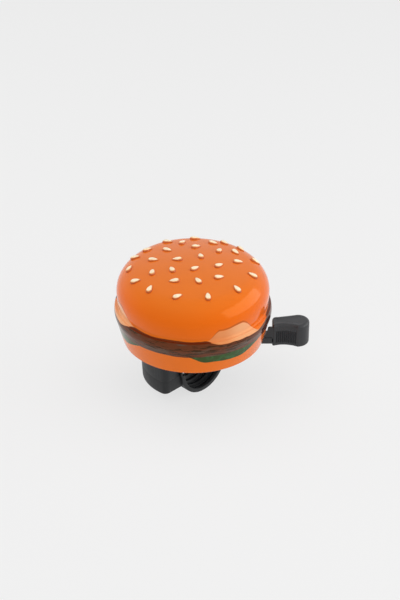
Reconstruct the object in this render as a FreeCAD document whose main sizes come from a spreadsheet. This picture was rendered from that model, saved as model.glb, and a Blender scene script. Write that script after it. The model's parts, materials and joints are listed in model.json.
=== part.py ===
import FreeCAD, Part
import math
import os
from types import SimpleNamespace

import Sketcher

# A bicycle bell shaped like a hamburger. The origin is the centre of the handlebar clamp,
# +X runs along the handlebar and +Z is up, along the axis of the dome. Lengths are in millimetres.

DIMENSIONS = (
    ("bar_radius", 11.1, "half of the 22.2 mm handlebar"),
    ("liner_thick", 1.0, "rubber liner between saddle and bar"),
    ("saddle_wall", 1.9, "plastic over the top of the bar"),
    ("strap_thick", 1.7, "wall of the lower half of the clamp"),
    ("strap_width", 13.0, "length of the lower half along the bar"),
    ("grip_groove_depth", 0.5, "grooves in the strap's bore that grip the bar"),
    ("grip_groove_width", 1.3, "those grooves along the bar"),
    ("grip_groove_count", 4, "those grooves"),
    ("split_gap", 0.4, "slit between the two halves of the clamp"),
    ("skirt_radius", 21.4, "round outside of the bracket at its lower edge"),
    ("skirt_draft", 2.5, "draft of the moulded skirt, in degrees"),
    ("skirt_flat", 5.0, "from the dome's axis to the flat face of the skirt"),
    ("skirt_back", 17.0, "from the dome's axis to the back face of the skirt"),
    ("skirt_corner", 2.5, "rounding of the skirt's upright corners"),
    ("lug_depth", 6.0, "from the bar's centre down to the foot of the lug"),
    ("clamp_screw_radius", 1.75, "clamp screw's shank"),
    ("clamp_screw_along", 5.0, "place of the clamp screw along the bar"),
    ("clamp_head_radius", 3.2, "clamp screw's head"),
    ("clamp_head_thick", 2.2, "height of the clamp screw's head"),
    ("clamp_screw_play", 0.5, "room round the clamp screw while the strap swings"),
    ("nut_side", 5.6, "side of the square clamp nut"),
    ("nut_thick", 2.4, "height of the square clamp nut"),
    ("nut_floor", 3.0, "plastic below the clamp nut"),
    ("hinge_pin_radius", 1.25, "strap's hinge pin"),
    ("knuckle_radius", 3.0, "strap's hinge knuckle"),
    ("knuckle_width", 8.0, "length of the knuckle along the bar"),
    ("ear_width", 3.2, "length of each hinge ear along the bar"),
    ("running_gap", 0.05, "radial clearance of a turning fit"),
    ("side_gap", 0.3, "clearance beside a moving piece"),
    ("plate_radius", 21.5, "steel base plate"),
    ("plate_thick", 1.2, "steel base plate"),
    ("base_screw_radius", 1.25, "screws that hold the plate to the bracket"),
    ("base_screw_head", 2.3, "head radius of those screws"),
    ("base_screw_length", 8.0, "depth of those screws in the bracket"),
    ("rivet_head_thick", 1.0, "riveted feet under the base plate"),
    ("rim_drop", 1.6, "from the plate's underside down to the dome's rim"),
    ("rim_radius", 29.3, "outside of the rim"),
    ("ring_radius", 32.5, "outside of the patty band, the widest line"),
    ("ring_height", 13.4, "height of the widest line above the rim"),
    ("band_half", 2.4, "half of the height of the patty band's bulge"),
    ("band_step", 0.45, "bulge of the patty band"),
    ("neck_radius", 30.9, "foot of the upper bun, above the patty band"),
    ("neck_height", 16.8, "height of that foot above the rim"),
    ("flare_dip", 0.25, "hollow of the flare between band and bun"),
    ("bun_radius", 31.4, "widest line of the upper bun"),
    ("bun_height", 21.8, "height of that line above the rim"),
    ("shoulder_radius", 10.5, "rounding of the upper bun's shoulder"),
    ("crown_rise", 2.1, "rise of the crown over the shoulder's rounding"),
    ("dome_wall", 0.9, "pressed steel of the dome"),
    ("seed_length", 3.4, "sesame seeds"),
    ("seed_proud", 0.85, "radius of a seed's blunt end, and its height over the bun"),
    ("seed_point", 0.45, "radius of a seed's thin end"),
    ("post_radius", 2.0, "centre post"),
    ("post_collar", 2.8, "collar of the centre post, below the spinner"),
    ("dome_nut_radius", 4.2, "nut inside the crown of the dome"),
    ("dome_nut_height", 6.0, "nut inside the crown of the dome"),
    ("lever_angle", 45.0, "direction of the resting lever from the bar, in degrees"),
    ("lever_travel", 30.0, "swing of the lever, in degrees"),
    ("pivot_offset", 12.0, "from the dome's axis to the lever's pivot"),
    ("lever_pin_radius", 1.7, "lever's pivot pin"),
    ("lever_hub_radius", 3.2, "lever's hub"),
    ("lever_thick", 2.2, "lever's upper arm and its toothed sector"),
    ("lever_width", 6.0, "lever's arms"),
    ("leg_thick", 3.6, "upright between the lever's two arms"),
    ("arm_thick", 2.7, "lever's lower arm, below the rim"),
    ("arm_drop", 0.4, "from the rim down to the lever's lower arm"),
    ("pad_inner", 32.9, "inner end of the thumb pad, from the dome's axis"),
    ("pad_outer", 48.4, "tip of the thumb pad, from the dome's axis"),
    ("pad_tip", 5.0, "rounding of the thumb pad's tip"),
    ("pad_lead", 1.2, "tip of the pad ahead of the arm's line"),
    ("pad_back", 4.8, "far side of the pad's inner end"),
    ("pad_front", 2.8, "thumb side of the pad's inner end"),
    ("pad_waist", 2.2, "thumb side of the pad at its hollow"),
    ("pad_corner", 2.4, "rounding of the pad's inner end"),
    ("pad_height", 9.3, "height of the thumb pad"),
    ("pad_drop", 0.5, "pad's foot below the lower arm"),
    ("pad_round", 0.8, "rounding of the pad's upper and lower edges"),
    ("groove_radius", 0.32, "grip grooves of the pad"),
    ("groove_count", 9, "grip grooves of the pad"),
    ("spring_wire", 0.7, "return spring's wire"),
    ("spring_turns", 2.25, "return spring's coils"),
    ("layer_gap", 0.15, "clearance between pieces that turn past each other"),
    ("spring_room", 2.8, "height between plate and toothed sector"),
    ("clip_thick", 0.5, "retaining clips"),
    ("clip_width", 1.2, "how far a clip stands out from its pin"),
    ("tooth_module", 0.6, "all gear teeth"),
    ("sector_teeth", 28, "teeth of the lever's sector on a full circle"),
    ("idler_pinion_teeth", 10, "idler, lower toothing"),
    ("idler_wheel_teeth", 28, "idler, upper toothing"),
    ("spinner_teeth", 12, "pinion of the spinner"),
    ("gear_thick", 2.0, "idler wheel and spinner pinion"),
    ("idler_pin_radius", 1.2, "idler's pin"),
    ("idler_neck_radius", 2.1, "plain neck of the idler"),
    ("arm_plate_thick", 1.0, "spinner's steel arm"),
    ("arm_plate_width", 9.0, "spinner's steel arm"),
    ("strike_gap", 0.2, "from a clapper thrown outwards to the inside of the patty band"),
    ("clapper_radius", 6.7, "clapper washers"),
    ("clapper_hole", 3.2, "hole of the clapper washers"),
    ("clapper_thick", 2.0, "clapper washers"),
    ("clapper_rivet_radius", 1.5, "rivets that carry the clappers"),
    ("clapper_head_radius", 4.4, "heads of those rivets"),
    ("clapper_head_thick", 0.7, "heads of those rivets"),
)

# Sesame seeds in rows round the crown: share of the crown's reach, then directions in degrees.
CROWN_SEEDS = (
    (0.29, (104, 202, 325)),
    (0.5, (36, 256)),
    (0.69, (130, 324)),
    (0.75, (1, 91, 177, 285)),
    (0.82, (211, 244)),
    (0.95, (54, 78, 111, 148)),
)
# One more row on the shoulder, this many degrees past the crown.
SHOULDER_SEEDS = (2, 32, 60, 84, 102, 133, 162, 188, 204, 224, 248, 269, 300, 330)
SHOULDER_STEP = 14.0
SEED_TURN = 67.0

PRESSURE_ANGLE = math.radians(20.0)
ADDENDUM = 0.8
DEDENDUM = 1.05
BACKLASH = 0.22
FLANK_STEPS = 3


class Size:
    """A length of the sheet, or a sum of such lengths: its number and its formula."""

    def __init__(self, value, text):
        self.value = float(value)
        self.text = text

    def __add__(self, other):
        other = as_size(other)
        return Size(self.value + other.value, f"({self.text} + {other.text})")

    def __sub__(self, other):
        other = as_size(other)
        return Size(self.value - other.value, f"({self.text} - {other.text})")

    def __mul__(self, other):
        other = as_size(other)
        return Size(self.value * other.value, f"({self.text} * {other.text})")

    def __truediv__(self, other):
        other = as_size(other)
        return Size(self.value / other.value, f"({self.text} / {other.text})")

    def __neg__(self):
        return Size(-self.value, f"(0 - {self.text})")


def as_size(value):
    """A plain number as a size, or the size itself."""
    return value if isinstance(value, Size) else Size(value, repr(float(value)))


def root(size):
    """Square root of a size."""
    return Size(math.sqrt(size.value), f"sqrt({size.text})")


def cosine(size):
    """Cosine of an angle in degrees."""
    return Size(math.cos(math.radians(size.value)), f"cos({size.text})")


def sine(size):
    """Sine of an angle in degrees."""
    return Size(math.sin(math.radians(size.value)), f"sin({size.text})")


doc = FreeCAD.newDocument("hamburger_bell")
sheet = doc.addObject("Spreadsheet::Sheet", "sizes")
for row, (alias, number, meaning) in enumerate(DIMENSIONS, start=1):
    sheet.set(f"A{row}", meaning)
    sheet.set(f"B{row}", str(number))
    sheet.setAlias(f"B{row}", alias)
doc.recompute()
s = SimpleNamespace(**{name: Size(sheet.get(name), f"sizes.{name}") for name, _, _ in DIMENSIONS})

# Heights, from the bar's centre upwards.
half_split = s.split_gap / 2
dome_height = s.bun_height + s.shoulder_radius + s.crown_rise
plate_z = s.bar_radius + s.liner_thick + s.saddle_wall
plate_top = plate_z + s.plate_thick
rim_z = plate_z - s.rim_drop
hub_z = plate_top + s.layer_gap
sector_z = hub_z + s.spring_room
sector_top = sector_z + s.lever_thick
wheel_z = sector_top + s.layer_gap * 2 + s.clip_thick
wheel_top = wheel_z + s.gear_thick
arm_plate_z = wheel_top + s.layer_gap * 3 + s.clip_thick
arm_plate_top = arm_plate_z + s.arm_plate_thick
clapper_z = arm_plate_top + s.layer_gap
clapper_top = clapper_z + s.clapper_thick
crown_z = rim_z + dome_height - s.dome_wall
arm_top = rim_z - s.arm_drop
arm_z = arm_top - s.arm_thick
pad_z = arm_z - s.pad_drop

# Places in plan: the lever's pivot, and the idler, which meshes with the sector and the spinner.
pivot_x = s.pivot_offset * cosine(s.lever_angle)
pivot_y = s.pivot_offset * sine(s.lever_angle)
sector_reach = s.tooth_module * (s.sector_teeth + s.idler_pinion_teeth) / 2
wheel_reach = s.tooth_module * (s.idler_wheel_teeth + s.spinner_teeth) / 2
idler_along = (s.pivot_offset * s.pivot_offset + wheel_reach * wheel_reach
               - sector_reach * sector_reach) / (s.pivot_offset * 2)
idler_aside = root(wheel_reach * wheel_reach - idler_along * idler_along)
idler_x = idler_along * cosine(s.lever_angle) - idler_aside * sine(s.lever_angle)
idler_y = idler_along * sine(s.lever_angle) + idler_aside * cosine(s.lever_angle)

# A clapper strikes the patty band when it is thrown out as far as its hole lets it go.
clapper_offset = (s.ring_radius - s.dome_wall - s.strike_gap - s.clapper_radius
                  - s.clapper_hole + s.clapper_rivet_radius)

# Places on the clamp.
strap_radius = s.bar_radius + s.strap_thick
lug_y = -(strap_radius + s.side_gap * 2 + s.nut_side / 2)
hinge_y = strap_radius + s.knuckle_radius + s.side_gap * 4
ear_end = s.skirt_flat
knuckle_end = ear_end - s.ear_width - s.side_gap
knuckle_start = knuckle_end - s.knuckle_width
ear_start = knuckle_start - s.side_gap - s.ear_width

nodes = []


def bind(thing, **sizes):
    """Ties properties of an object to sizes of the sheet."""
    for path, size in sizes.items():
        thing.setExpression(path.replace("__", "."), as_size(size).text)


def place(thing, x=0.0, y=0.0, z=0.0):
    """Ties an object's place to sizes of the sheet."""
    bind(thing, Placement__Base__x=x, Placement__Base__y=y, Placement__Base__z=z)
    return thing


def cylinder(name, radius, height, x=0.0, y=0.0, z=0.0, along_bar=False):
    """A cylinder that stands on z, or lies along the bar from x."""
    thing = doc.addObject("Part::Cylinder", name)
    if along_bar:
        thing.Placement = FreeCAD.Placement(FreeCAD.Vector(), FreeCAD.Rotation(FreeCAD.Vector(0, 1, 0), 90))
    bind(thing, Radius=radius, Height=height)
    return place(thing, x, y, z)


def box(name, length, width, height, x, y, z):
    """A box from its lowest corner."""
    thing = doc.addObject("Part::Box", name)
    bind(thing, Length=length, Width=width, Height=height)
    return place(thing, x, y, z)


def fuse(name, *things):
    """Several solids as one."""
    whole = doc.addObject("Part::MultiFuse", name)
    whole.Shapes = list(things)
    whole.Refine = True
    return whole


def cut(name, base, *tools):
    """A solid less one or more others."""
    result = doc.addObject("Part::Cut", name)
    result.Base = base
    result.Tool = tools[0] if len(tools) == 1 else fuse(f"{name}_tools", *tools)
    result.Refine = True
    return result


def common(name, *things):
    """What several solids share."""
    result = doc.addObject("Part::MultiCommon", name)
    result.Shapes = list(things)
    result.Refine = True
    return result


def group(name, *things):
    """Separate solids that share one node."""
    result = doc.addObject("Part::Compound", name)
    result.Links = list(things)
    return result


def node(thing, name):
    """Names a finished piece of the bell."""
    thing.Label = name
    nodes.append(thing)
    return thing


def outline(sketch, corners, middles):
    """Draws a closed outline of straight edges and arcs in a sketch.

    Each corner is a pair of sizes, held by dimensions. An edge whose number is in middles is an arc
    through that point.
    """
    points = [FreeCAD.Vector(x.value, y.value, 0) for x, y in corners]
    for index, start in enumerate(points):
        end = points[(index + 1) % len(points)]
        if index in middles:
            middle = FreeCAD.Vector(middles[index][0].value, middles[index][1].value, 0)
            sketch.addGeometry(Part.Arc(start, middle, end))
        else:
            sketch.addGeometry(Part.LineSegment(start, end))
    for index, start in enumerate(points):
        first = 1 if sketch.getPoint(index, 1).distanceToPoint(start) < 1e-6 else 2
        before = (index - 1) % len(points)
        last = 2 if sketch.getPoint(before, 2).distanceToPoint(start) < 1e-6 else 1
        sketch.addConstraint(Sketcher.Constraint("Coincident", before, last, index, first))
        for kind, axis, size in (("DistanceX", -2, corners[index][0]), ("DistanceY", -1, corners[index][1])):
            if abs(size.value) < 1e-9:
                sketch.addConstraint(Sketcher.Constraint("PointOnObject", index, first, axis))
            else:
                number = sketch.addConstraint(Sketcher.Constraint(kind, -1, 1, index, first, size.value))
                sketch.setExpression(f"Constraints[{number}]", size.text)


def extruded(name, corners, middles, height, z, draft=None):
    """An outline in plan, raised from z."""
    sketch = doc.addObject("Sketcher::SketchObject", f"{name}_outline")
    outline(sketch, corners, middles)
    place(sketch, z=z)
    solid = doc.addObject("Part::Extrusion", name)
    solid.Base = sketch
    solid.DirMode = "Normal"
    solid.Solid = True
    bind(solid, LengthFwd=height)
    if draft is not None:
        bind(solid, TaperAngle=draft)
    return solid


def rounded(name, blank, radius):
    """A raised outline with its upper and lower edges rounded."""
    doc.recompute()
    rounding = doc.addObject("Part::Fillet", name)
    rounding.Base = blank
    level = [(number, radius.value, radius.value) for number, edge in enumerate(blank.Shape.Edges, start=1)
             if edge.BoundBox.ZLength < 1e-6]
    rounding.Edges = level
    return rounding


def revolved(name, corners, middles):
    """A turned or spun piece from its outline in the XZ plane."""
    body = doc.addObject("PartDesign::Body", name)
    plane = next(part for part in body.Origin.OriginFeatures if part.Role == "XZ_Plane")
    sketch = body.newObject("Sketcher::SketchObject", f"{name}_outline")
    sketch.AttachmentSupport = [(plane, "")]
    sketch.MapMode = "FlatFace"
    outline(sketch, corners, middles)
    turned = body.newObject("PartDesign::Revolution", f"{name}_turned")
    turned.Profile = sketch
    turned.ReferenceAxis = (sketch, ["V_Axis"])
    turned.Angle = 360.0
    return body


def gear(name, teeth, first, count, inner, height, z):
    """Involute teeth round the Z axis, from tooth number first, on a body down to the inner radius."""
    pitch = s.tooth_module.value * teeth / 2
    base = pitch * math.cos(PRESSURE_ANGLE)
    tip = pitch + ADDENDUM * s.tooth_module.value
    foot = pitch - DEDENDUM * s.tooth_module.value
    half_pitch = math.pi / (2 * teeth) - BACKLASH * s.tooth_module.value / (2 * pitch)

    def half_angle(radius):
        roll = math.acos(min(1.0, base / max(radius, base)))
        at_pitch = math.tan(PRESSURE_ANGLE) - PRESSURE_ANGLE
        return half_pitch + at_pitch - (math.tan(roll) - roll)

    start = max(foot, base)
    radii = [start + (tip - start) * step / FLANK_STEPS for step in range(FLANK_STEPS + 1)]
    flank = [(foot, half_angle(start))] + [(radius, half_angle(radius)) for radius in radii]
    points = []
    for tooth in range(first, first + count):
        centre = 2 * math.pi * tooth / teeth
        for radius, angle in flank:
            points.append((radius, centre - angle))
        for radius, angle in reversed(flank):
            points.append((radius, centre + angle))
    if count < teeth:
        points.append((inner.value, points[-1][1]))
        points.append((inner.value, points[0][1]))
    path = [FreeCAD.Vector(radius * math.cos(angle), radius * math.sin(angle), 0) for radius, angle in points]
    face = Part.Face(Part.makePolygon(path + path[:1]))
    solid = doc.addObject("Part::Feature", name)
    solid.Shape = face.extrude(FreeCAD.Vector(0, 0, height.value))
    solid.Placement = FreeCAD.Placement(FreeCAD.Vector(0, 0, z.value), FreeCAD.Rotation())
    return solid


def turned_to(thing, x, y, degrees):
    """Turns a finished piece about its own Z axis and moves it to its place in plan."""
    thing.Placement = FreeCAD.Placement(FreeCAD.Vector(), FreeCAD.Rotation(FreeCAD.Vector(0, 0, 1), degrees))
    return place(thing, x, y)


def dome_profile():
    """Radii and centres of the crown and shoulder arcs, which touch each other and the bun's wall."""
    centre_r = s.bun_radius - s.shoulder_radius
    rise = dome_height - s.bun_height
    crown = (centre_r * centre_r + rise * rise - s.shoulder_radius * s.shoulder_radius) / (
        (rise - s.shoulder_radius) * 2)
    centre_z = dome_height - crown
    lean_r = centre_r / (crown - s.shoulder_radius)
    lean_z = (s.bun_height - centre_z) / (crown - s.shoulder_radius)
    return SimpleNamespace(centre_r=centre_r, crown=crown, centre_z=centre_z, lean_r=lean_r, lean_z=lean_z)


def dome_wall(inset):
    """Corners and arcs of the dome's outside, or of its inside where inset is the wall's thickness."""
    p = dome_profile()
    crown = p.crown - inset
    shoulder = s.shoulder_radius - inset
    half_lean = math.radians(90) - math.atan2(p.lean_z.value, p.lean_r.value)
    bisector = (math.radians(90) - half_lean) / 2
    corners = [
        (s.rim_radius - inset, as_size(0)),
        (s.ring_radius - s.band_step - inset, s.ring_height - s.band_half),
        (s.ring_radius - s.band_step - inset, s.ring_height + s.band_half),
        (s.neck_radius - inset, s.neck_height),
        (s.bun_radius - inset, s.bun_height),
        (p.lean_r * crown, p.centre_z + p.lean_z * crown),
        (as_size(0), p.centre_z + crown),
    ]
    band_end = corners[2]
    middles = [
        None,
        (s.ring_radius - inset, s.ring_height),
        ((band_end[0] + corners[3][0]) / 2 - s.flare_dip, (band_end[1] + corners[3][1]) / 2 - s.flare_dip),
        (s.bun_radius - inset - (s.bun_radius - s.neck_radius) / 4, (s.neck_height + s.bun_height) / 2),
        (p.centre_r + shoulder * math.cos(bisector), s.bun_height + shoulder * math.sin(bisector)),
        (crown * math.sin(half_lean / 2), p.centre_z + crown * math.cos(half_lean / 2)),
    ]
    return corners, middles


def dome_shell():
    """The pressed steel dome: lower bun, patty band, flare and upper bun in one thin wall."""
    outer, outer_arcs = dome_wall(as_size(0))
    inner, inner_arcs = dome_wall(s.dome_wall)
    corners = outer + inner[::-1]
    middles = {index: point for index, point in enumerate(outer_arcs) if point}
    edges = len(corners)
    middles.update({edges - 2 - index: point for index, point in enumerate(inner_arcs) if point})
    return place(revolved("dome", corners, middles), z=rim_z)


def sesame_seeds():
    """Raised seeds, like drops with a flat back, that sit on the crown and shoulder of the upper bun."""
    p = dome_profile()
    blunt = s.seed_proud.value
    sharp = s.seed_point.value
    axis_length = s.seed_length.value - blunt - sharp
    lean_in = math.asin((blunt - sharp) / axis_length)
    blunt_half = (math.radians(90) + lean_in) / 2
    sharp_half = (math.radians(90) - lean_in) / 2

    def spot_on(centre, radius, angle):
        return FreeCAD.Vector(centre + radius * math.sin(angle), radius * math.cos(angle), 0)

    butt = -axis_length / 2
    point = axis_length / 2
    back = spot_on(butt, blunt, math.radians(-90))
    belly_start = spot_on(butt, blunt, lean_in)
    belly_end = spot_on(point, sharp, lean_in)
    tip = spot_on(point, sharp, math.radians(90))
    edges = [
        Part.Arc(back, spot_on(butt, blunt, lean_in - blunt_half), belly_start),
        Part.LineSegment(belly_start, belly_end),
        Part.Arc(belly_end, spot_on(point, sharp, lean_in + sharp_half), tip),
        Part.LineSegment(tip, back),
    ]
    blank = Part.Face(Part.Wire([edge.toShape() for edge in edges]))
    drop = blank.revolve(FreeCAD.Vector(), FreeCAD.Vector(1, 0, 0), 180)
    crown_reach = p.lean_r.value * p.crown.value - s.seed_length.value / 2 - s.side_gap.value
    rows = []
    for share, directions in CROWN_SEEDS:
        lean = math.asin(share * crown_reach / p.crown.value)
        height = p.centre_z.value + p.crown.value * math.cos(lean)
        rows.append((share * crown_reach, lean, height, directions))
    lean = math.asin(p.lean_r.value) + math.radians(SHOULDER_STEP)
    distance = p.centre_r.value + s.shoulder_radius.value * math.sin(lean)
    height = s.bun_height.value + s.shoulder_radius.value * math.cos(lean)
    rows.append((distance, lean, height, SHOULDER_SEEDS))
    seeds = []
    for distance, lean, height, directions in rows:
        for direction in directions:
            spin = FreeCAD.Rotation(FreeCAD.Vector(0, 0, 1), direction)
            tilt = FreeCAD.Rotation(FreeCAD.Vector(0, 1, 0), math.degrees(lean))
            turn = FreeCAD.Rotation(FreeCAD.Vector(0, 0, 1), SEED_TURN * len(seeds))
            spot = spin.multVec(FreeCAD.Vector(distance, 0, height + rim_z.value))
            seed = drop.copy()
            seed.Placement = FreeCAD.Placement(spot, spin.multiply(tilt).multiply(turn))
            seeds.append(seed)
    whole = doc.addObject("Part::Feature", "seeds")
    whole.Shape = Part.makeCompound(seeds)
    return whole


def skirt_blank():
    """The drafted block that bracket and strap lug are cut from: round, with a flat face and a back face."""
    def corner(face, sign):
        radius = s.skirt_corner
        inner = s.skirt_radius - radius
        centre_x = face - radius if face.value > 0 else face + radius
        centre_y = root(inner * inner - centre_x * centre_x) * sign
        on_round = (centre_x * s.skirt_radius / inner, centre_y * s.skirt_radius / inner)
        on_face = (face, centre_y)
        along_x = (1 if face.value > 0 else -1) + centre_x.value / inner.value
        along_y = centre_y.value / inner.value
        scale = radius.value / math.hypot(along_x, along_y)
        middle = (centre_x + along_x * scale, centre_y + along_y * scale)
        return on_face, on_round, middle

    flat_near, round_near, mid_near = corner(s.skirt_flat, -1)
    back_near, round_back, mid_back = corner(-s.skirt_back, -1)
    flat_far, round_far, mid_far = corner(s.skirt_flat, 1)
    back_far, round_rear, mid_rear = corner(-s.skirt_back, 1)
    near_x = (s.skirt_flat - s.skirt_back) / 2
    near_y = root(s.skirt_radius * s.skirt_radius - near_x * near_x)
    corners = [flat_far, round_far, round_rear, back_far, back_near, round_back, round_near, flat_near]
    middles = {0: mid_far, 1: (near_x, near_y), 2: mid_rear, 4: mid_back, 5: (near_x, -near_y), 6: mid_near}
    return extruded("skirt", corners, middles, plate_z + s.lug_depth, -s.lug_depth, s.skirt_draft)


def base_screw_places():
    """Where the four base screws stand, two on each side of the bar."""
    across = -lug_y
    near = s.skirt_flat - s.base_screw_head - s.side_gap * 4
    far = s.skirt_back - s.base_screw_head - s.side_gap * 4
    return [(near, -across), (-far, -across * 0.86), (-near, across * 1.06), (-far, across * 0.86)]


def bracket(skirt):
    """The moulded upper half of the clamp, with the saddle, nut pocket, screw holes and hinge ears."""
    reach = s.skirt_radius * 3
    under = box("bracket_under", reach, reach, s.lug_depth + half_split, -reach / 2, -reach / 2, -s.lug_depth)
    saddle = cylinder("bracket_saddle", s.bar_radius + s.liner_thick + s.running_gap, reach,
                      -reach / 2, along_bar=True)
    ears = cylinder("bracket_ears", s.knuckle_radius, ear_end - ear_start, ear_start, hinge_y, along_bar=True)
    room_start = knuckle_start - s.side_gap
    room_width = s.knuckle_width + s.side_gap * 2
    room = cylinder("bracket_knuckle_room", s.knuckle_radius + s.side_gap, room_width, room_start, hinge_y,
                    along_bar=True)
    web_room = box("bracket_web_room", room_width, s.knuckle_radius * 2, s.knuckle_radius, room_start,
                   hinge_y - s.knuckle_radius * 2, -s.knuckle_radius + half_split)
    pin_hole = cylinder("bracket_pin_hole", s.hinge_pin_radius + s.running_gap, reach,
                        -reach / 2, hinge_y, along_bar=True)
    side = s.nut_side + s.running_gap * 2
    nut_pocket = box("bracket_nut_pocket", side, side, plate_z, -s.clamp_screw_along - side / 2,
                     lug_y - side / 2, half_split + s.nut_floor)
    screw_hole = cylinder("bracket_screw_hole", s.clamp_screw_radius + s.clamp_screw_play, plate_z,
                          -s.clamp_screw_along, lug_y)
    holes = [cylinder(f"bracket_hole_{i}", s.base_screw_radius + s.running_gap, s.base_screw_length + s.side_gap,
                      x, y, plate_z - s.base_screw_length - s.side_gap)
             for i, (x, y) in enumerate(base_screw_places())]
    feet = [cylinder(f"bracket_foot_{i}", radius + s.side_gap, s.rivet_head_thick + s.running_gap, x, y,
                     plate_z - s.rivet_head_thick - s.running_gap)
            for i, (radius, x, y) in enumerate(rivet_feet())]
    body = cut("bracket_body", skirt, under, saddle)
    return cut("bracket", fuse("bracket_eared", body, ears), room, web_room, pin_hole, nut_pocket, screw_hole,
               *holes, *feet)


def rivet_feet():
    """Radius and place of the riveted feet under the base plate: post, lever pin and idler pin."""
    return [(s.post_collar, as_size(0), as_size(0)), (s.lever_pin_radius * 1.5, pivot_x, pivot_y),
            (s.idler_pin_radius * 1.6, idler_x, idler_y)]


def saddle_liner():
    """The rubber half ring between the saddle and the bar."""
    length = s.strap_width / 2 + s.skirt_flat - s.side_gap
    outer = cylinder("liner_outer", s.bar_radius + s.liner_thick, length, -s.strap_width / 2, along_bar=True)
    inner = cylinder("liner_inner", s.bar_radius, s.strap_width * 2, -s.strap_width, along_bar=True)
    reach = s.bar_radius * 4
    under = box("liner_under", reach, reach, reach / 2, -reach / 2, -reach / 2, half_split - reach / 2)
    return cut("liner", outer, inner, under)


def clamp_strap(skirt):
    """The lower half of the clamp: half ring, screw lug and hinge knuckle in one moulding."""
    reach = s.skirt_radius * 3
    ring = cylinder("strap_ring", strap_radius, s.strap_width, -s.strap_width / 2, along_bar=True)
    web = box("strap_web", s.knuckle_width, hinge_y - s.bar_radius, s.knuckle_radius - half_split, knuckle_start,
              s.bar_radius, -s.knuckle_radius)
    knuckle = cylinder("strap_knuckle", s.knuckle_radius, s.knuckle_width, knuckle_start, hinge_y, along_bar=True)
    lug_box = box("strap_lug_box", reach, reach / 2, s.lug_depth * 2, -reach / 2, -s.bar_radius - reach / 2,
                  -s.lug_depth * 1.5)
    lug = common("strap_lug", skirt, lug_box)
    over = box("strap_over", reach, hinge_y - s.knuckle_radius - s.side_gap + reach / 2, reach, -reach / 2,
               -reach / 2, -half_split)
    bar = cylinder("strap_bar", s.bar_radius, reach, -reach / 2, along_bar=True)
    pin_hole = cylinder("strap_pin_hole", s.hinge_pin_radius + s.running_gap, reach, -reach / 2, hinge_y,
                        along_bar=True)
    screw_hole = cylinder("strap_screw_hole", s.clamp_screw_radius + s.running_gap, s.lug_depth * 2,
                          -s.clamp_screw_along, lug_y, -s.lug_depth * 1.5)
    counterbore = cylinder("strap_counterbore", s.clamp_head_radius + s.side_gap, s.clamp_head_thick * 2,
                           -s.clamp_screw_along, lug_y, -s.lug_depth - s.clamp_head_thick)
    count = int(s.grip_groove_count.value)
    grooves = []
    for i in range(count):
        middle = s.strap_width * ((i + 0.5) / count - 0.5)
        grooves.append(cylinder(f"strap_groove_{i}", s.bar_radius + s.grip_groove_depth, s.grip_groove_width,
                                middle - s.grip_groove_width / 2, along_bar=True))
    return cut("strap", fuse("strap_whole", ring, web, knuckle, lug), over, bar, pin_hole, screw_hole, counterbore,
               *grooves)


def clamp_screw():
    """The screw that pulls the strap's lug up to the bracket, with a crossed drive in its head."""
    head_z = -s.lug_depth
    head = cylinder("screw_head", s.clamp_head_radius, s.clamp_head_thick, -s.clamp_screw_along, lug_y, head_z)
    shank_top = half_split + s.nut_floor + s.nut_thick + s.side_gap
    shank = cylinder("screw_shank", s.clamp_screw_radius, shank_top - head_z, -s.clamp_screw_along, lug_y, head_z)
    slot_long = s.clamp_head_radius * 1.2
    slot_wide = s.clamp_head_radius / 4
    deep = s.clamp_head_thick * 0.6
    slots = [box(f"screw_slot_{i}", a, b, deep, -s.clamp_screw_along - a / 2, lug_y - b / 2, head_z)
             for i, (a, b) in enumerate(((slot_long, slot_wide), (slot_wide, slot_long)))]
    return cut("clamp_screw_body", fuse("clamp_screw_blank", head, shank), *slots)


def clamp_nut():
    """The square nut in the bracket's pocket."""
    x = -s.clamp_screw_along
    z = half_split + s.nut_floor
    block = box("nut_block", s.nut_side, s.nut_side, s.nut_thick, x - s.nut_side / 2, lug_y - s.nut_side / 2, z)
    hole = cylinder("nut_hole", s.clamp_screw_radius + s.clamp_screw_play, s.nut_thick * 2, x, lug_y,
                    z - s.nut_thick / 2)
    return cut("nut", block, hole)


def hinge_pin():
    """The pin that carries the strap between the bracket's ears."""
    return cylinder("hinge", s.hinge_pin_radius, ear_end - ear_start, ear_start, hinge_y, along_bar=True)


def base_plate():
    """The steel disc that carries post, pins and spring, with a bent-up tab for the spring's tail."""
    disc = cylinder("plate_disc", s.plate_radius, s.plate_thick, z=plate_z)
    pins = [(s.post_radius, as_size(0), as_size(0)), (s.lever_pin_radius, pivot_x, pivot_y),
            (s.idler_pin_radius, idler_x, idler_y)]
    pins += [(s.base_screw_radius, x, y) for x, y in base_screw_places()]
    holes = [cylinder(f"plate_hole_{i}", radius + s.running_gap, s.plate_thick * 3, x, y, plate_z - s.plate_thick)
             for i, (radius, x, y) in enumerate(pins)]
    tab_x, tab_y = spring_tab()
    tab = box("plate_tab", s.plate_thick, s.plate_thick * 2, s.plate_thick + s.spring_room - s.layer_gap,
              tab_x, tab_y, plate_z)
    return cut("plate", fuse("plate_tabbed", disc, tab), *holes)


def spring_radius():
    """Middle of the return spring's wire, from the lever's pivot."""
    return s.lever_hub_radius + s.side_gap + s.spring_wire / 2


def spring_tab():
    """Corner of the plate's tab, beside the end of the spring's tail."""
    return pivot_x + spring_radius() + s.spring_wire / 2 + s.running_gap, pivot_y - s.lever_hub_radius * 2.2


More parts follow.
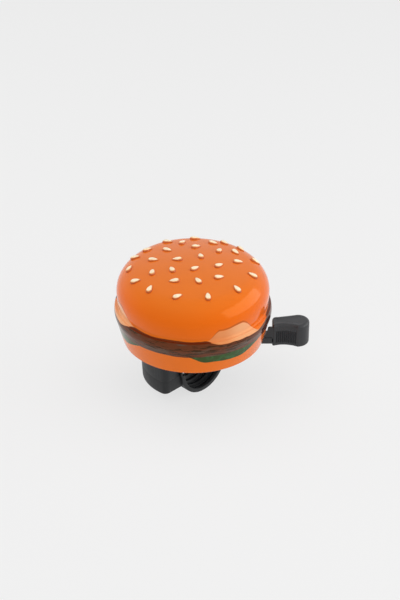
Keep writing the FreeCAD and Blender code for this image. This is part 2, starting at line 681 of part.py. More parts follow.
def base_screws():
    """Four pan-head screws through the plate into the bracket."""
    screws = []
    for i, (x, y) in enumerate(base_screw_places()):
        shank = cylinder(f"base_shank_{i}", s.base_screw_radius, s.base_screw_length + s.plate_thick, x, y,
                         plate_z - s.base_screw_length)
        head = cylinder(f"base_head_{i}", s.base_screw_head, s.plate_thick, x, y, plate_top)
        slot = box(f"base_slot_{i}", s.base_screw_head * 3, s.base_screw_radius / 2, s.plate_thick,
                   x - s.base_screw_head * 1.5, y - s.base_screw_radius / 4, plate_top + s.plate_thick / 2)
        screws.append(cut(f"base_screw_{i}", fuse(f"base_blank_{i}", shank, head), slot))
    return group("base_screw_set", *screws)


def riveted_pin(name, radius, foot, top, x, y, collar=None):
    """A pin with a riveted foot under the base plate, and a collar above it where it has one."""
    pieces = [cylinder(f"{name}_foot", foot, s.rivet_head_thick, x, y, plate_z - s.rivet_head_thick),
              cylinder(f"{name}_shaft", radius, top - plate_z + s.rivet_head_thick, x, y,
                       plate_z - s.rivet_head_thick)]
    if collar is not None:
        pieces.append(cylinder(f"{name}_collar", collar, wheel_z - s.layer_gap - plate_top, x, y, plate_top))
    return fuse(name, *pieces)


def clip(name, radius, x, y, z):
    """A flat retaining clip, open on one side, round the end of a pin."""
    ring = cylinder(f"{name}_ring", radius + s.clip_width, s.clip_thick, x, y, z)
    hole = cylinder(f"{name}_hole", radius + s.running_gap, s.clip_thick * 3, x, y, z - s.clip_thick)
    mouth = box(f"{name}_mouth", radius * 4, radius, s.clip_thick * 3, x, y - radius / 2, z - s.clip_thick)
    return cut(name, ring, hole, mouth)


def dome_nut():
    """The nut under the crown, by which the dome screws down on the post."""
    top = crown_z - s.running_gap * 2
    body = cylinder("crown_nut_body", s.dome_nut_radius, s.dome_nut_height, z=top - s.dome_nut_height)
    hole = cylinder("crown_nut_hole", s.post_radius + s.running_gap, s.dome_nut_height * 2,
                    z=top - s.dome_nut_height * 1.5)
    return cut("crown_nut", body, hole)


def return_spring():
    """The torsion spring round the lever's hub, with a straight tail to the plate's tab."""
    wire = s.spring_wire.value / 2
    radius = spring_radius().value
    rise = s.spring_room.value - s.spring_wire.value - s.layer_gap.value * 3
    start_z = hub_z.value + wire + s.layer_gap.value
    coil = Part.makeHelix(rise / s.spring_turns.value, rise, radius)
    coil.translate(FreeCAD.Vector(0, 0, start_z))
    start = FreeCAD.Vector(radius, 0, start_z)
    tail_end = FreeCAD.Vector(radius, -s.lever_hub_radius.value * 2, start_z)
    tail = Part.LineSegment(tail_end, start).toShape()
    profile = Part.Wire([Part.makeCircle(wire, tail_end, FreeCAD.Vector(0, 1, 0))])
    swept = Part.Wire([tail] + coil.Edges).makePipeShell([profile], True, False)
    spring = doc.addObject("Part::Feature", "spring")
    spring.Shape = swept
    return place(spring, pivot_x, pivot_y)


def thumb_pad():
    """The thumb pad in plan from the pivot: hollow and grooved on the thumb side, round at the tip."""
    inner = s.pad_inner - s.pivot_offset
    tip_x = s.pad_outer - s.pad_tip - s.pivot_offset
    waist_x = (inner + tip_x) / 2
    slant = math.sqrt(0.5)
    back_mid = (inner + s.pad_corner * (1 - slant), s.pad_back - s.pad_corner * (1 - slant))
    corners = [
        (inner, -s.pad_front),
        (tip_x, s.pad_lead - s.pad_tip),
        (tip_x, s.pad_lead + s.pad_tip),
        (inner + s.pad_corner, s.pad_back),
        (inner, s.pad_back - s.pad_corner),
    ]
    middles = {0: (waist_x, -s.pad_waist), 1: (tip_x + s.pad_tip, s.pad_lead), 3: back_mid}
    blank = rounded("pad_rounded", extruded("pad_blank", corners, middles, s.pad_height, pad_z), s.pad_round)
    grooves = []
    count = int(s.groove_count.value)
    span = tip_x - inner - s.pad_tip / 2
    for i in range(count):
        along = inner + span * ((i + 0.5) / count)
        bow = ((along.value - waist_x.value) / (waist_x.value - inner.value)) ** 2
        side = -s.pad_waist - (s.pad_front - s.pad_waist) * bow
        grooves.append(cylinder(f"pad_groove_{i}", s.groove_radius, s.pad_height * 2, along, side,
                                pad_z - s.pad_height / 2))
    return cut("pad", blank, *grooves)


def mesh_direction():
    """Direction from the lever's pivot to the idler, in degrees."""
    return math.degrees(math.atan2(idler_y.value - pivot_y.value, idler_x.value - pivot_x.value))


def thumb_lever():
    """Hub, toothed sector, two arms joined by an upright, and the thumb pad in one moulding."""
    hub = cylinder("lever_hub", s.lever_hub_radius, sector_top - hub_z, z=hub_z)
    leg_x = s.plate_radius + s.side_gap * 6 - s.pivot_offset
    upper = box("lever_upper", leg_x + s.leg_thick, s.lever_width, s.lever_thick, 0, -s.lever_width / 2, sector_z)
    leg = box("lever_leg", s.leg_thick, s.lever_width, sector_top - arm_z, leg_x, -s.lever_width / 2, arm_z)
    lower_end = s.pad_inner - s.pivot_offset + s.pad_corner
    lower = box("lever_lower", lower_end - leg_x, s.lever_width, s.arm_thick, leg_x, -s.lever_width / 2, arm_z)
    tooth_step = 360.0 / s.sector_teeth.value
    behind = math.ceil(s.lever_travel.value / tooth_step) + 1
    sector = gear("lever_sector", int(s.sector_teeth.value), -behind, behind + 2, s.lever_hub_radius / 2,
                  s.lever_thick, sector_z)
    sector.Placement = FreeCAD.Placement(
        FreeCAD.Vector(0, 0, sector_z.value),
        FreeCAD.Rotation(FreeCAD.Vector(0, 0, 1), mesh_direction() - s.lever_angle.value))
    bore = cylinder("lever_bore", s.lever_pin_radius + s.running_gap, sector_top, z=hub_z - s.spring_room)
    whole = fuse("lever_whole", hub, sector, upper, leg, lower, thumb_pad())
    return turned_to(cut("lever", whole, bore), pivot_x, pivot_y, s.lever_angle.value)


def idler_gear():
    """Pinion and wheel of the idler in one moulding, on a plain neck."""
    pinion_teeth = int(s.idler_pinion_teeth.value)
    wheel_teeth = int(s.idler_wheel_teeth.value)
    pinion = gear("idler_pinion", pinion_teeth, 0, pinion_teeth, s.idler_neck_radius, s.lever_thick, sector_z)
    wheel = gear("idler_wheel", wheel_teeth, 0, wheel_teeth, s.idler_neck_radius, s.gear_thick, wheel_z)
    to_spinner = math.degrees(math.atan2(-idler_y.value, -idler_x.value))
    to_sector = mesh_direction() + 180.0
    for toothing, height, degrees in ((pinion, sector_z, to_sector + 180.0 / pinion_teeth),
                                      (wheel, wheel_z, to_spinner)):
        toothing.Placement = FreeCAD.Placement(
            FreeCAD.Vector(0, 0, height.value), FreeCAD.Rotation(FreeCAD.Vector(0, 0, 1), degrees))
    neck = cylinder("idler_neck", s.idler_neck_radius, wheel_top - hub_z, z=hub_z)
    bore = cylinder("idler_bore", s.idler_pin_radius + s.running_gap, wheel_top, z=hub_z - s.spring_room)
    return place(cut("idler", fuse("idler_whole", pinion, wheel, neck), bore), idler_x, idler_y)


def spinner_hub():
    """Pinion of the spinner, with the neck that its arm is pressed on."""
    teeth = int(s.spinner_teeth.value)
    pinion = gear("spinner_pinion", teeth, 0, teeth, s.post_radius, s.gear_thick, wheel_z)
    to_idler = math.degrees(math.atan2(idler_y.value, idler_x.value))
    pinion.Placement = FreeCAD.Placement(
        FreeCAD.Vector(0, 0, wheel_z.value),
        FreeCAD.Rotation(FreeCAD.Vector(0, 0, 1), to_idler + 180.0 / teeth))
    neck = cylinder("spinner_neck", s.post_collar, arm_plate_top - wheel_z + s.layer_gap, z=wheel_z)
    bore = cylinder("spinner_bore", s.post_radius + s.running_gap, arm_plate_top, z=wheel_z - s.gear_thick)
    return cut("spinner", fuse("spinner_whole", pinion, neck), bore)


def spinner_arm():
    """The steel strip across the spinner that carries a clapper at each end."""
    strip = box("arm_strip", clapper_offset * 2, s.arm_plate_width, s.arm_plate_thick, -clapper_offset,
                -s.arm_plate_width / 2, arm_plate_z)
    ends = [cylinder(f"arm_end_{i}", s.arm_plate_width / 2, s.arm_plate_thick, x, z=arm_plate_z)
            for i, x in enumerate((clapper_offset, -clapper_offset))]
    holes = [cylinder(f"arm_hole_{i}", radius + s.running_gap, s.arm_plate_thick * 3, x,
                      z=arm_plate_z - s.arm_plate_thick)
             for i, (radius, x) in enumerate(((s.post_collar, as_size(0)),
                                              (s.clapper_rivet_radius, clapper_offset),
                                              (s.clapper_rivet_radius, -clapper_offset)))]
    return cut("arm", fuse("arm_blank", strip, *ends), *holes)


def clapper_rivets():
    """The two rivets that carry the clappers, headed above them and below the arm."""
    rivets = []
    foot_z = arm_plate_z - s.clapper_head_thick
    for i, x in enumerate((clapper_offset, -clapper_offset)):
        shank = cylinder(f"rivet_shank_{i}", s.clapper_rivet_radius, clapper_top + s.layer_gap - foot_z, x, z=foot_z)
        head = cylinder(f"rivet_head_{i}", s.clapper_head_radius, s.clapper_head_thick, x,
                        z=clapper_top + s.layer_gap)
        foot = cylinder(f"rivet_foot_{i}", s.clapper_rivet_radius * 1.6, s.clapper_head_thick, x, z=foot_z)
        rivets.append(fuse(f"rivet_{i}", shank, head, foot))
    return group("rivet_pair", *rivets)


def clapper(name, x):
    """A loose steel washer that strikes the dome."""
    washer = cylinder(f"{name}_washer", s.clapper_radius, s.clapper_thick, x, z=clapper_z)
    hole = cylinder(f"{name}_hole", s.clapper_hole, s.clapper_thick * 3, x, z=clapper_z - s.clapper_thick)
    return cut(name, washer, hole)


def build():
    """Makes every piece of the bell in the document."""
    node(dome_shell(), "dome_shell")
    node(sesame_seeds(), "sesame_seeds")
    node(dome_nut(), "dome_nut")
    post_top = crown_z - s.dome_wall
    node(riveted_pin("post", s.post_radius, s.post_collar, post_top, as_size(0), as_size(0), s.post_collar),
         "centre_post")
    node(base_plate(), "base_plate")
    node(base_screws(), "base_screws")
    node(riveted_pin("lever_axle", s.lever_pin_radius, s.lever_pin_radius * 1.5,
                     sector_top + s.layer_gap + s.clip_thick, pivot_x, pivot_y), "lever_pin")
    node(clip("lever_ring", s.lever_pin_radius, pivot_x, pivot_y, sector_top + s.layer_gap), "lever_clip")
    node(riveted_pin("idler_axle", s.idler_pin_radius, s.idler_pin_radius * 1.6,
                     wheel_top + s.layer_gap + s.clip_thick, idler_x, idler_y), "idler_pin")
    node(clip("idler_ring", s.idler_pin_radius, idler_x, idler_y, wheel_top + s.layer_gap), "idler_clip")
    node(clip("spinner_ring", s.post_radius, as_size(0), as_size(0), arm_plate_top + s.layer_gap * 2),
         "spinner_clip")
    skirt = skirt_blank()
    node(bracket(skirt), "bracket")
    node(saddle_liner(), "saddle_liner")
    node(clamp_nut(), "clamp_nut")
    node(hinge_pin(), "hinge_pin")
    node(clamp_strap(skirt), "clamp_strap")
    node(clamp_screw(), "clamp_screw")
    node(return_spring(), "return_spring")
    node(thumb_lever(), "thumb_lever")
    node(idler_gear(), "idler_gear")
    node(spinner_hub(), "spinner_hub")
    node(spinner_arm(), "spinner_arm")
    node(clapper_rivets(), "clapper_rivets")
    node(clapper("clapper_one", clapper_offset), "clapper_a")
    node(clapper("clapper_two", -clapper_offset), "clapper_b")
    doc.recompute()


def write():
    """Checks every object and writes one file for each piece."""
    for thing in doc.Objects:
        if "Invalid" in thing.State or "Error" in thing.State:
            raise RuntimeError(f"{thing.Name} failed: {thing.State}")
    for thing in nodes:
        if thing.Shape.isNull() or not thing.Shape.isValid() or not thing.Shape.Solids:
            raise RuntimeError(f"{thing.Label} is not a sound solid")
    os.makedirs("parts", exist_ok=True)
    for thing in nodes:
        thing.Shape.exportStep(os.path.join("parts", f"{thing.Label}.step"))
        print(thing.Label, len(thing.Shape.Solids), round(thing.Shape.Volume, 2))


build()
write()
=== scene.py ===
"""Looks of a hamburger-shaped bicycle bell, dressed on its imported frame."""

import json
import logging
import math
from dataclasses import dataclass, field
from enum import Enum
from typing import Any, Optional, Sequence

import bmesh
import bpy
from mathutils import Matrix, Vector


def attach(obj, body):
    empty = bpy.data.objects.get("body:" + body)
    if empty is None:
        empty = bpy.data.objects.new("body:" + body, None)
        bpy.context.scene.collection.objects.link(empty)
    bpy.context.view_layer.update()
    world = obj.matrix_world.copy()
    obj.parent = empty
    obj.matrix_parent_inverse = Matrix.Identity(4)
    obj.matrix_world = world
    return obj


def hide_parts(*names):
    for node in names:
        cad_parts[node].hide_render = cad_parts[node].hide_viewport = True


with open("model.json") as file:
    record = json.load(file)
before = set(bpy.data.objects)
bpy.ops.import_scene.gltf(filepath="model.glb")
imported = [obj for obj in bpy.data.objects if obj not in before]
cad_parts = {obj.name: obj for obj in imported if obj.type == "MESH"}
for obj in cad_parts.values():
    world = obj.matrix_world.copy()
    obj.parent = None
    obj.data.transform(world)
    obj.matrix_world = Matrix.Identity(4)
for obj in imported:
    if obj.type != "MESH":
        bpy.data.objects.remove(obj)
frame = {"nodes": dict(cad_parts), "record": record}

log = logging.getLogger("bell")

# Sizes in the classes are in millimetres and angles in degrees; bearings turn from the bar's axis.
MM = 0.001
IMAGE_HEIGHT = 600
RIM_Z = 12.4
LEVER_BEARING = 45.0
TINY = 1e-6
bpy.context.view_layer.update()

Point = tuple[float, float]
Place = tuple[float, float, float]
Colour = tuple[float, float, float, float]
Tree, Socket = bpy.types.NodeTree, bpy.types.NodeSocket
Material, Mesh = bpy.types.Material, bpy.types.Mesh


class Body(Enum):
    """Moving bodies of the bell that scene pieces ride on."""

    FRAME = "frame"
    LEVER = "lever"
    STRAP = "strap"


class Slot(Enum):
    """Material slots of the record."""

    DOME = "painted_dome"
    SEED = "seed_enamel"
    PLASTIC = "black_plastic"
    STEEL = "zinc_steel"
    SPRING = "spring_steel"
    RUBBER = "liner_rubber"
    NYLON = "white_nylon"


def linear(hex_colour: str) -> Colour:
    """Turns an sRGB hex colour to linear light.

    Args:
        hex_colour: six hex digits, with or without a leading hash.

    Returns:
        Red, green, blue and an alpha of one.
    """
    digits = hex_colour.lstrip("#")
    channels = [int(digits[i:i + 2], 16) / 255 for i in (0, 2, 4)]
    light = [c / 12.92 if c <= 0.04045 else ((c + 0.055) / 1.055) ** 2.4 for c in channels]
    return light[0], light[1], light[2], 1.0


def add_node(tree: Tree, kind: str, settings: Optional[dict[str, Any]] = None,
             inputs: Optional[dict[Any, Any]] = None) -> bpy.types.Node:
    """Adds a node with its settings and its inputs.

    Args:
        tree: the tree that gets the node.
        kind: the node's type name.
        settings: properties of the node.
        inputs: values or output sockets, by the input's name or number.

    Returns:
        The new node.
    """
    node = tree.nodes.new(kind)
    for name, value in (settings or {}).items():
        setattr(node, name, value)
    for key, value in (inputs or {}).items():
        if isinstance(value, Socket):
            tree.links.new(value, node.inputs[key])
        else:
            node.inputs[key].default_value = value
    return node


def new_material(name: str) -> tuple[Material, Tree, bpy.types.Node]:
    """Starts a material with an empty surface shader.

    Args:
        name: what the material is.

    Returns:
        The material, its tree and its surface shader.
    """
    material = bpy.data.materials.new(name)
    material.use_nodes = True
    return material, material.node_tree, material.node_tree.nodes["Principled BSDF"]


def reckon(tree: Tree, operation: str, *terms: Any, clamp: bool = False) -> Socket:
    """Adds a Math node.

    Args:
        tree: the tree that gets the node.
        operation: the name of the operation.
        terms: numbers or sockets that it works on.
        clamp: whether the result stays between 0 and 1.

    Returns:
        The socket of the result.
    """
    settings = {"operation": operation, "use_clamp": clamp}
    return add_node(tree, "ShaderNodeMath", settings, dict(enumerate(terms))).outputs[0]


def spots(tree: Tree, where: Socket, size: float, detail: float = 2.0) -> Socket:
    """Adds noise with round spots.

    Args:
        tree: the material's tree.
        where: coordinates on the piece.
        size: width of a spot in millimetres.
        detail: how many finer layers the noise has.

    Returns:
        The socket of the noise.
    """
    return add_node(tree, "ShaderNodeTexNoise", None,
                    {"Vector": where, "Scale": 1 / (size * MM), "Detail": detail}).outputs[0]


def streaks(tree: Tree, where: Socket, sizes: Place, detail: float, roughness: float = 0.5,
            shift: Place = (0.0, 0.0, 0.0)) -> Socket:
    """Adds noise with stretched spots.

    Args:
        tree: the material's tree.
        where: coordinates on the piece.
        sizes: size of a spot along each axis, in millimetres.
        detail: how many finer layers the noise has.
        roughness: how strong the finer layers are.
        shift: where the noise is taken from, in spots.

    Returns:
        The socket of the noise.
    """
    scale = tuple(1 / (size * MM) for size in sizes)
    place = add_node(tree, "ShaderNodeMapping", None, {"Vector": where, "Location": shift, "Scale": scale})
    return add_node(tree, "ShaderNodeTexNoise", None,
                    {"Vector": place.outputs[0], "Scale": 1.0, "Detail": detail,
                     "Roughness": roughness}).outputs[0]


def graded(tree: Tree, value: Socket, stops: Sequence[tuple[float, Colour]],
           interpolation: str = "LINEAR") -> Socket:
    """Adds a colour ramp.

    Args:
        tree: the material's tree.
        value: the socket that is looked up.
        stops: place and colour of each stop, in order.
        interpolation: how the colours run between the stops.

    Returns:
        The socket of the colour.
    """
    ramp = add_node(tree, "ShaderNodeValToRGB", None, {0: value})
    ramp.color_ramp.interpolation = interpolation
    elements = ramp.color_ramp.elements
    elements[0].position, elements[1].position = stops[0][0], stops[-1][0]
    for place, _ in stops[1:-1]:
        elements.new(place)
    for element, (_, colour) in zip(elements, stops):
        element.color = colour
    return ramp.outputs[0]


@dataclass(frozen=True)
class Relief:
    """Fine dimples of a surface, and the range of its roughness."""

    strength: float
    depth: float
    roughness: Point

    def apply(self, tree: Tree, shader: bpy.types.Node, dimples: Socket, patches: Socket) -> None:
        """Dimples a surface and makes its gloss uneven.

        Args:
            tree: the material's tree.
            shader: its surface shader.
            dimples: noise of the dimples.
            patches: noise of the gloss.
        """
        bump = add_node(tree, "ShaderNodeBump", None,
                        {"Strength": self.strength, "Distance": self.depth * MM, "Height": dimples})
        tree.links.new(bump.outputs[0], shader.inputs["Normal"])
        low, high = self.roughness
        dull = add_node(tree, "ShaderNodeMapRange", None, {0: patches, 3: low, 4: high})
        tree.links.new(dull.outputs[0], shader.inputs["Roughness"])


@dataclass(frozen=True)
class BurgerEnamel:
    """Stoving enamel, sprayed and pad-printed on pressed steel.

    The orange has a wet gloss with a trace of orange peel. The printed band below it shows a streaky brown
    patty, green leaves and pale slices, under the same clear coat. Heights are above the dome's rim.
    """

    name: str = "stoving_enamel_burger_print"
    # Orange of crown, side and foot; the crown's paler orange is painted light from above.
    crown: str = "#E67420"
    side: str = "#F06A06"
    # Dark brown of the painted shade in the crease between bun and patty.
    foot: str = "#F07210"
    crease_shade: str = "#5E1C06"
    patty: str = "#5E2A1C"
    streak: str = "#280C08"
    ash: str = "#54403A"
    leaf: str = "#06441A"
    leaf_light: str = "#105A2E"
    slice: str = "#E88C50"
    slice_light: str = "#F6AE7A"
    slice_edge: str = "#C85C14"
    gloss: str = "#FFC882"
    specular: float = 0.5
    # Middle height and width of each change of orange; the change to the crown is painted light from above.
    side_rise: Point = (17.0, 6.0)
    lit_crown_rise: Point = (29.0, 11.0)
    patty_low: float = 9.3
    patty_high: float = 16.3
    # How far the leaves hang, and how far their ends and their upper edge lie under the patty.
    leaf_depth: float = 4.2
    leaf_end: float = 0.2
    leaf_tuck: float = 1.0
    # Width of the painted shade in the crease under the bun's lobes.
    crease_shade_width: float = 0.7
    hang_depth: float = 2.0
    slice_height: float = 6.8
    slice_line: float = 0.9
    # Softness of the edges of leaves, of other areas, and of lines.
    leaf_soft: float = 0.25
    area_soft: float = 0.3
    line_soft: float = 0.4
    # Level and softness at which each noise becomes a patch.
    ash_patch: Point = (0.54, 0.12)
    streak_patch: Point = (0.55, 0.08)
    fold_patch: Point = (0.56, 0.2)
    # Sizes of the noises: waves of the edges, meat, ash, folds of the leaves, orange peel.
    wave_size: float = 9.0
    wave_depth: float = 0.6
    streak_size: Place = (6.0, 6.0, 0.8)
    ash_size: Place = (11.0, 11.0, 2.4)
    ash_shift: Place = (3.0, 7.0, 1.0)
    fold_size: float = 3.0
    peel_size: float = 1.6
    peel: Relief = Relief(strength=0.05, depth=0.1, roughness=(0.09, 0.15))
    # First and last bearing of the lobes of each layer, in degrees.
    leaf_spans: tuple[Point, ...] = ((-147.0, -84.0), (-50.0, 18.0), (57.0, 110.0), (128.0, 176.0))
    hang_spans: tuple[Point, ...] = ((-142.0, -92.0), (-38.0, 34.0), (64.0, 116.0), (134.0, 178.0))
    slice_spans: tuple[Point, ...] = ((-142.0, -94.0), (-34.5, 11.0), (65.0, 108.0), (135.0, 174.0))
    # Share of a lobe's width, and how far the lobe reaches or how light it is there.
    lobe: tuple[Point, ...] = ((0.0, 0.0), (0.22, 0.85), (0.62, 1.0), (1.0, 0.0))
    fade: tuple[Point, ...] = ((0.0, 0.0), (0.25, 0.2), (0.6, 1.0), (1.0, 1.0))

    def _zone(self, tree: Tree, value: Any, edge: Any, soft: float) -> Socket:
        """Rises from 0 to 1 where a value passes an edge.

        Args:
            tree: the material's tree.
            value: the socket that is compared.
            edge: number or socket of the edge.
            soft: width of the rise.

        Returns:
            The socket of the mask.
        """
        past = reckon(tree, "SUBTRACT", value, edge)
        return add_node(tree, "ShaderNodeMapRange", {"interpolation_type": "SMOOTHSTEP"},
                        {0: past, 1: -soft / 2, 2: soft / 2}).outputs[0]

    def _band(self, tree: Tree, value: Any, low: Any, high: Any, soft: float) -> Socket:
        """A mask that is 1 between two edges.

        Args:
            tree: the material's tree.
            value: the socket that is compared.
            low: number or socket of the lower edge.
            high: number or socket of the upper edge.
            soft: width of both edges.

        Returns:
            The socket of the mask.
        """
        over, under = (self._zone(tree, value, edge, soft) for edge in (low, high))
        return reckon(tree, "SUBTRACT", over, under, clamp=True)

    def _layer(self, tree: Tree, below: Any, above: Any, mask: Socket) -> Socket:
        """Lays one colour over another by a mask.

        Args:
            tree: the material's tree.
            below: hex colour or socket under the layer.
            above: hex colour or socket of the layer.
            mask: where the layer shows.

        Returns:
            The mixed colour.
        """
        low, high = (linear(colour) if isinstance(colour, str) else colour for colour in (below, above))
        mix = add_node(tree, "ShaderNodeMix", {"data_type": "RGBA"}, {0: mask, 6: low, 7: high})
        return mix.outputs[2]

    def _reach(self, tree: Tree, turn: Socket, spans: Sequence[Point], shape: Sequence[Point]) -> Socket:
        """Gives each lobe of a layer of the print its shape, by the direction round the dome.

        Args:
            tree: the material's tree.
            turn: direction round the dome, from 0 to 1.
            spans: first and last bearing of each lobe, in degrees.
            shape: share of the lobe's width, and the value there.

        Returns:
            The socket of the value, from 0 to 1.
        """
        stops = []
        for first, last in spans:
            for share, value in shape:
                stops.append(((first + (last - first) * share + 180) / 360, (value, value, value, 1.0)))
        return graded(tree, turn, stops, "EASE")

    def _meat(self, tree: Tree, where: Socket) -> Socket:
        """Mixes the patty's browns, with ashy patches and level dark streaks.

        Args:
            tree: the material's tree.
            where: coordinates on the dome.

        Returns:
            The socket of the colour.
        """
        grain = streaks(tree, where, self.streak_size, detail=3.0, roughness=0.6)
        ash = streaks(tree, where, self.ash_size, detail=2.0, shift=self.ash_shift)
        meat = self._layer(tree, self.patty, self.ash, self._zone(tree, ash, *self.ash_patch))
        return self._layer(tree, meat, self.streak, self._zone(tree, grain, *self.streak_patch))

    def material(self) -> Material:
        """Builds the printed enamel.

        Returns:
            The dome's material.
        """
        material, tree, shader = new_material(self.name)
        where = add_node(tree, "ShaderNodeTexCoord").outputs["Object"]
        axes = add_node(tree, "ShaderNodeSeparateXYZ", None, {0: where}).outputs
        height = reckon(tree, "MULTIPLY_ADD", axes["Z"], 1 / MM, -RIM_Z)
        bearing = reckon(tree, "ARCTAN2", axes["Y"], axes["X"])
        turn = reckon(tree, "MULTIPLY_ADD", bearing, 1 / math.tau, 0.5)
        wave = spots(tree, where, self.wave_size)
        sway = reckon(tree, "MULTIPLY_ADD", wave, 2.0, -1.0)
        swayed = reckon(tree, "MULTIPLY_ADD", sway, self.wave_depth, height)

        # Sprayed orange, paler at the crown as painted light from above, with leaves in two greens whose
        # upper edge lies under the patty.
        bun = self._layer(tree, self.foot, self.side, self._zone(tree, height, *self.side_rise))
        bun = self._layer(tree, bun, self.crown, self._zone(tree, height, *self.lit_crown_rise))
        fold = spots(tree, where, self.fold_size)
        green = self._layer(tree, self.leaf, self.leaf_light, self._zone(tree, fold, *self.fold_patch))
        reach = self._reach(tree, turn, self.leaf_spans, self.lobe)
        leaf_low = reckon(tree, "MULTIPLY_ADD", reach, -self.leaf_depth, self.patty_low + self.leaf_end)
        leaf_high = self.patty_low + self.leaf_tuck
        paint = self._layer(tree, bun, green, self._band(tree, swayed, leaf_low, leaf_high, self.leaf_soft))

        # The bun hangs over the patty in lobes; a dark band of painted shade lies in the crease between the
        # two.
        hang = self._reach(tree, turn, self.hang_spans, self.lobe)
        top = reckon(tree, "MULTIPLY_ADD", hang, -self.hang_depth, self.patty_high)
        crease_shade_low = reckon(tree, "MULTIPLY_ADD", hang, self.crease_shade_width - self.hang_depth,
                            self.patty_high - self.crease_shade_width)
        patty = self._band(tree, swayed, self.patty_low, top, self.area_soft)
        paint = self._layer(tree, paint, self._meat(tree, where), patty)
        crease_shade = self._band(tree, swayed, crease_shade_low, top, self.line_soft)
        paint = self._layer(tree, paint, self.crease_shade, crease_shade)

        # Pale slices lie over the bun's lobes, each with a thin darker line along its upper edge.
        share = self._reach(tree, turn, self.slice_spans, self.lobe)
        slice_top = reckon(tree, "MULTIPLY_ADD", share, self.slice_height, top)
        line_top = reckon(tree, "MULTIPLY_ADD", share, self.slice_height + self.slice_line, top)
        light = self._reach(tree, turn, self.slice_spans, self.fade)
        pale = self._layer(tree, self.slice, self.slice_light, light)
        line = self._band(tree, swayed, slice_top, line_top, self.line_soft)
        paint = self._layer(tree, paint, self.slice_edge, line)
        paint = self._layer(tree, paint, pale, self._band(tree, swayed, top, slice_top, self.area_soft))
        tree.links.new(paint, shader.inputs["Base Color"])

        self.peel.apply(tree, shader, spots(tree, where, self.peel_size, detail=1.0), wave)
        shader.inputs["Specular IOR Level"].default_value = self.specular
        shader.inputs["Specular Tint"].default_value = linear(self.gloss)
        return material


@dataclass(frozen=True)
class SeedEnamel:
    """Cream enamel dabbed on the tops of raised seeds, whose feet keep the orange of the bun, darkened there
    as painted shade on their sides.
    """

    name: str = "cream_enamel_dabbed"
    # Height on the seed and colour, from the foot to the top; the foot is the bun's orange made darker as
    # painted shade on the seed's sides.
    bands: tuple[tuple[float, str], ...] = ((0.52, "#C2570C"), (0.68, "#EFA552"), (0.84, "#FFEBC8"))
    blotch_size: float = 1.2
    blotch_reach: float = 0.24
    roughness: float = 0.32
    coat: float = 0.3
    coat_roughness: float = 0.1

    def material(self) -> Material:
        """Builds the seeds' enamel, which follows the height stored on their meshes.

        Returns:
            The seeds' material.
        """
        material, tree, shader = new_material(self.name)
        crown = add_node(tree, "ShaderNodeAttribute", {"attribute_name": "crown"}).outputs["Fac"]
        where = add_node(tree, "ShaderNodeTexCoord").outputs["Object"]
        blotch = spots(tree, where, self.blotch_size)
        uneven = reckon(tree, "MULTIPLY_ADD", blotch, self.blotch_reach, crown)
        paint = graded(tree, uneven, [(place, linear(colour)) for place, colour in self.bands])
        tree.links.new(paint, shader.inputs["Base Color"])
        shader.inputs["Roughness"].default_value = self.roughness
        shader.inputs["Coat Weight"].default_value = self.coat
        shader.inputs["Coat Roughness"].default_value = self.coat_roughness
        return material


@dataclass(frozen=True)
class Surface:
    """A plain material with a grain: moulded plastic, rubber, plated steel or spring wire.

    The grain mixes two close colours and dimples the surface, so that nothing is one flat colour.
    """

    name: str
    colour: str
    shade: str
    grain: Place
    roughness: Point
    depth: float
    metallic: float = 0.0
    # Cloudy wear under the fine grain, and where the mix of both turns from shade to colour.
    cloud: float = 14.0
    turn: Point = (0.12, 0.40)
    strength: float = 0.35

    def material(self) -> Material:
        """Builds the material from its grain.

        Returns:
            The material.
        """
        material, tree, shader = new_material(self.name)
        where = add_node(tree, "ShaderNodeTexCoord").outputs["Object"]
        grain = streaks(tree, where, self.grain, detail=4.0)
        both = reckon(tree, "MULTIPLY", grain, spots(tree, where, self.cloud))
        colours = (linear(self.shade), linear(self.colour))
        tree.links.new(graded(tree, both, list(zip(self.turn, colours))), shader.inputs["Base Color"])
        Relief(self.strength, self.depth, self.roughness).apply(tree, shader, grain, grain)
        shader.inputs["Metallic"].default_value = self.metallic
        return material


class Finish(Enum):
    """Materials of the pieces other than the dome, by how each was made."""

    # Moulded plastic of the lever, with a fine eroded grain: dark grey and satin.
    ABS = Surface("abs_black_moulded", "#303134", "#202124", (0.5, 0.5, 0.5), (0.34, 0.46), 0.02)
    # Black plastic of the clamp, in the lever's slot of the record: blacker and duller than the lever's.
    CLAMP = Surface("clamp_black_plastic", "#0E1116", "#07080A", (0.6, 0.6, 0.6), (0.44, 0.58), 0.03)
    # Bright zinc plate over cold-rolled steel: pale, with fine rolling marks along the bar.
    ZINC = Surface("zinc_plated_steel", "#C9CBCE", "#9EA1A6", (9.0, 0.35, 0.35), (0.24, 0.38), 0.01, 1.0)
    # Drawn spring wire: darker and smoother than the plate.
    WIRE = Surface("drawn_spring_steel", "#A3A6AB", "#75787E", (0.4, 0.4, 2.0), (0.18, 0.3), 0.005, 1.0)
    # Moulded rubber: dull black.
    RUBBER = Surface("moulded_rubber", "#1C1C1D", "#111112", (0.6, 0.6, 0.6), (0.7, 0.85), 0.03)
    # Natural nylon: milky and slightly waxy.
    NYLON = Surface("natural_nylon", "#EDEAE0", "#D8D3C4", (0.8, 0.8, 0.8), (0.35, 0.45), 0.01)


def finished_piece(name: str, mesh: Mesh, material: Material, body: Body, slot: Slot,
                   *nodes: str) -> bpy.types.Object:
    """Puts a finished mesh in the scene, on its body and in place of its solids.

    Args:
        name: the piece's name.
        mesh: its mesh, in the part's frame.
        material: its finish.
        body: the body that it moves with.
        slot: the record's slot of the piece; not used.
        nodes: the solids that it stands for.

    Returns:
        The piece.
    """
    piece = bpy.data.objects.new(name, mesh)
    bpy.context.scene.collection.objects.link(piece)
    mesh.materials.clear()
    mesh.materials.append(material)
    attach(piece, body.value)
    if nodes:
        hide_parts(*nodes)
    log.info("piece %s: %d faces", name, len(mesh.polygons))
    return piece


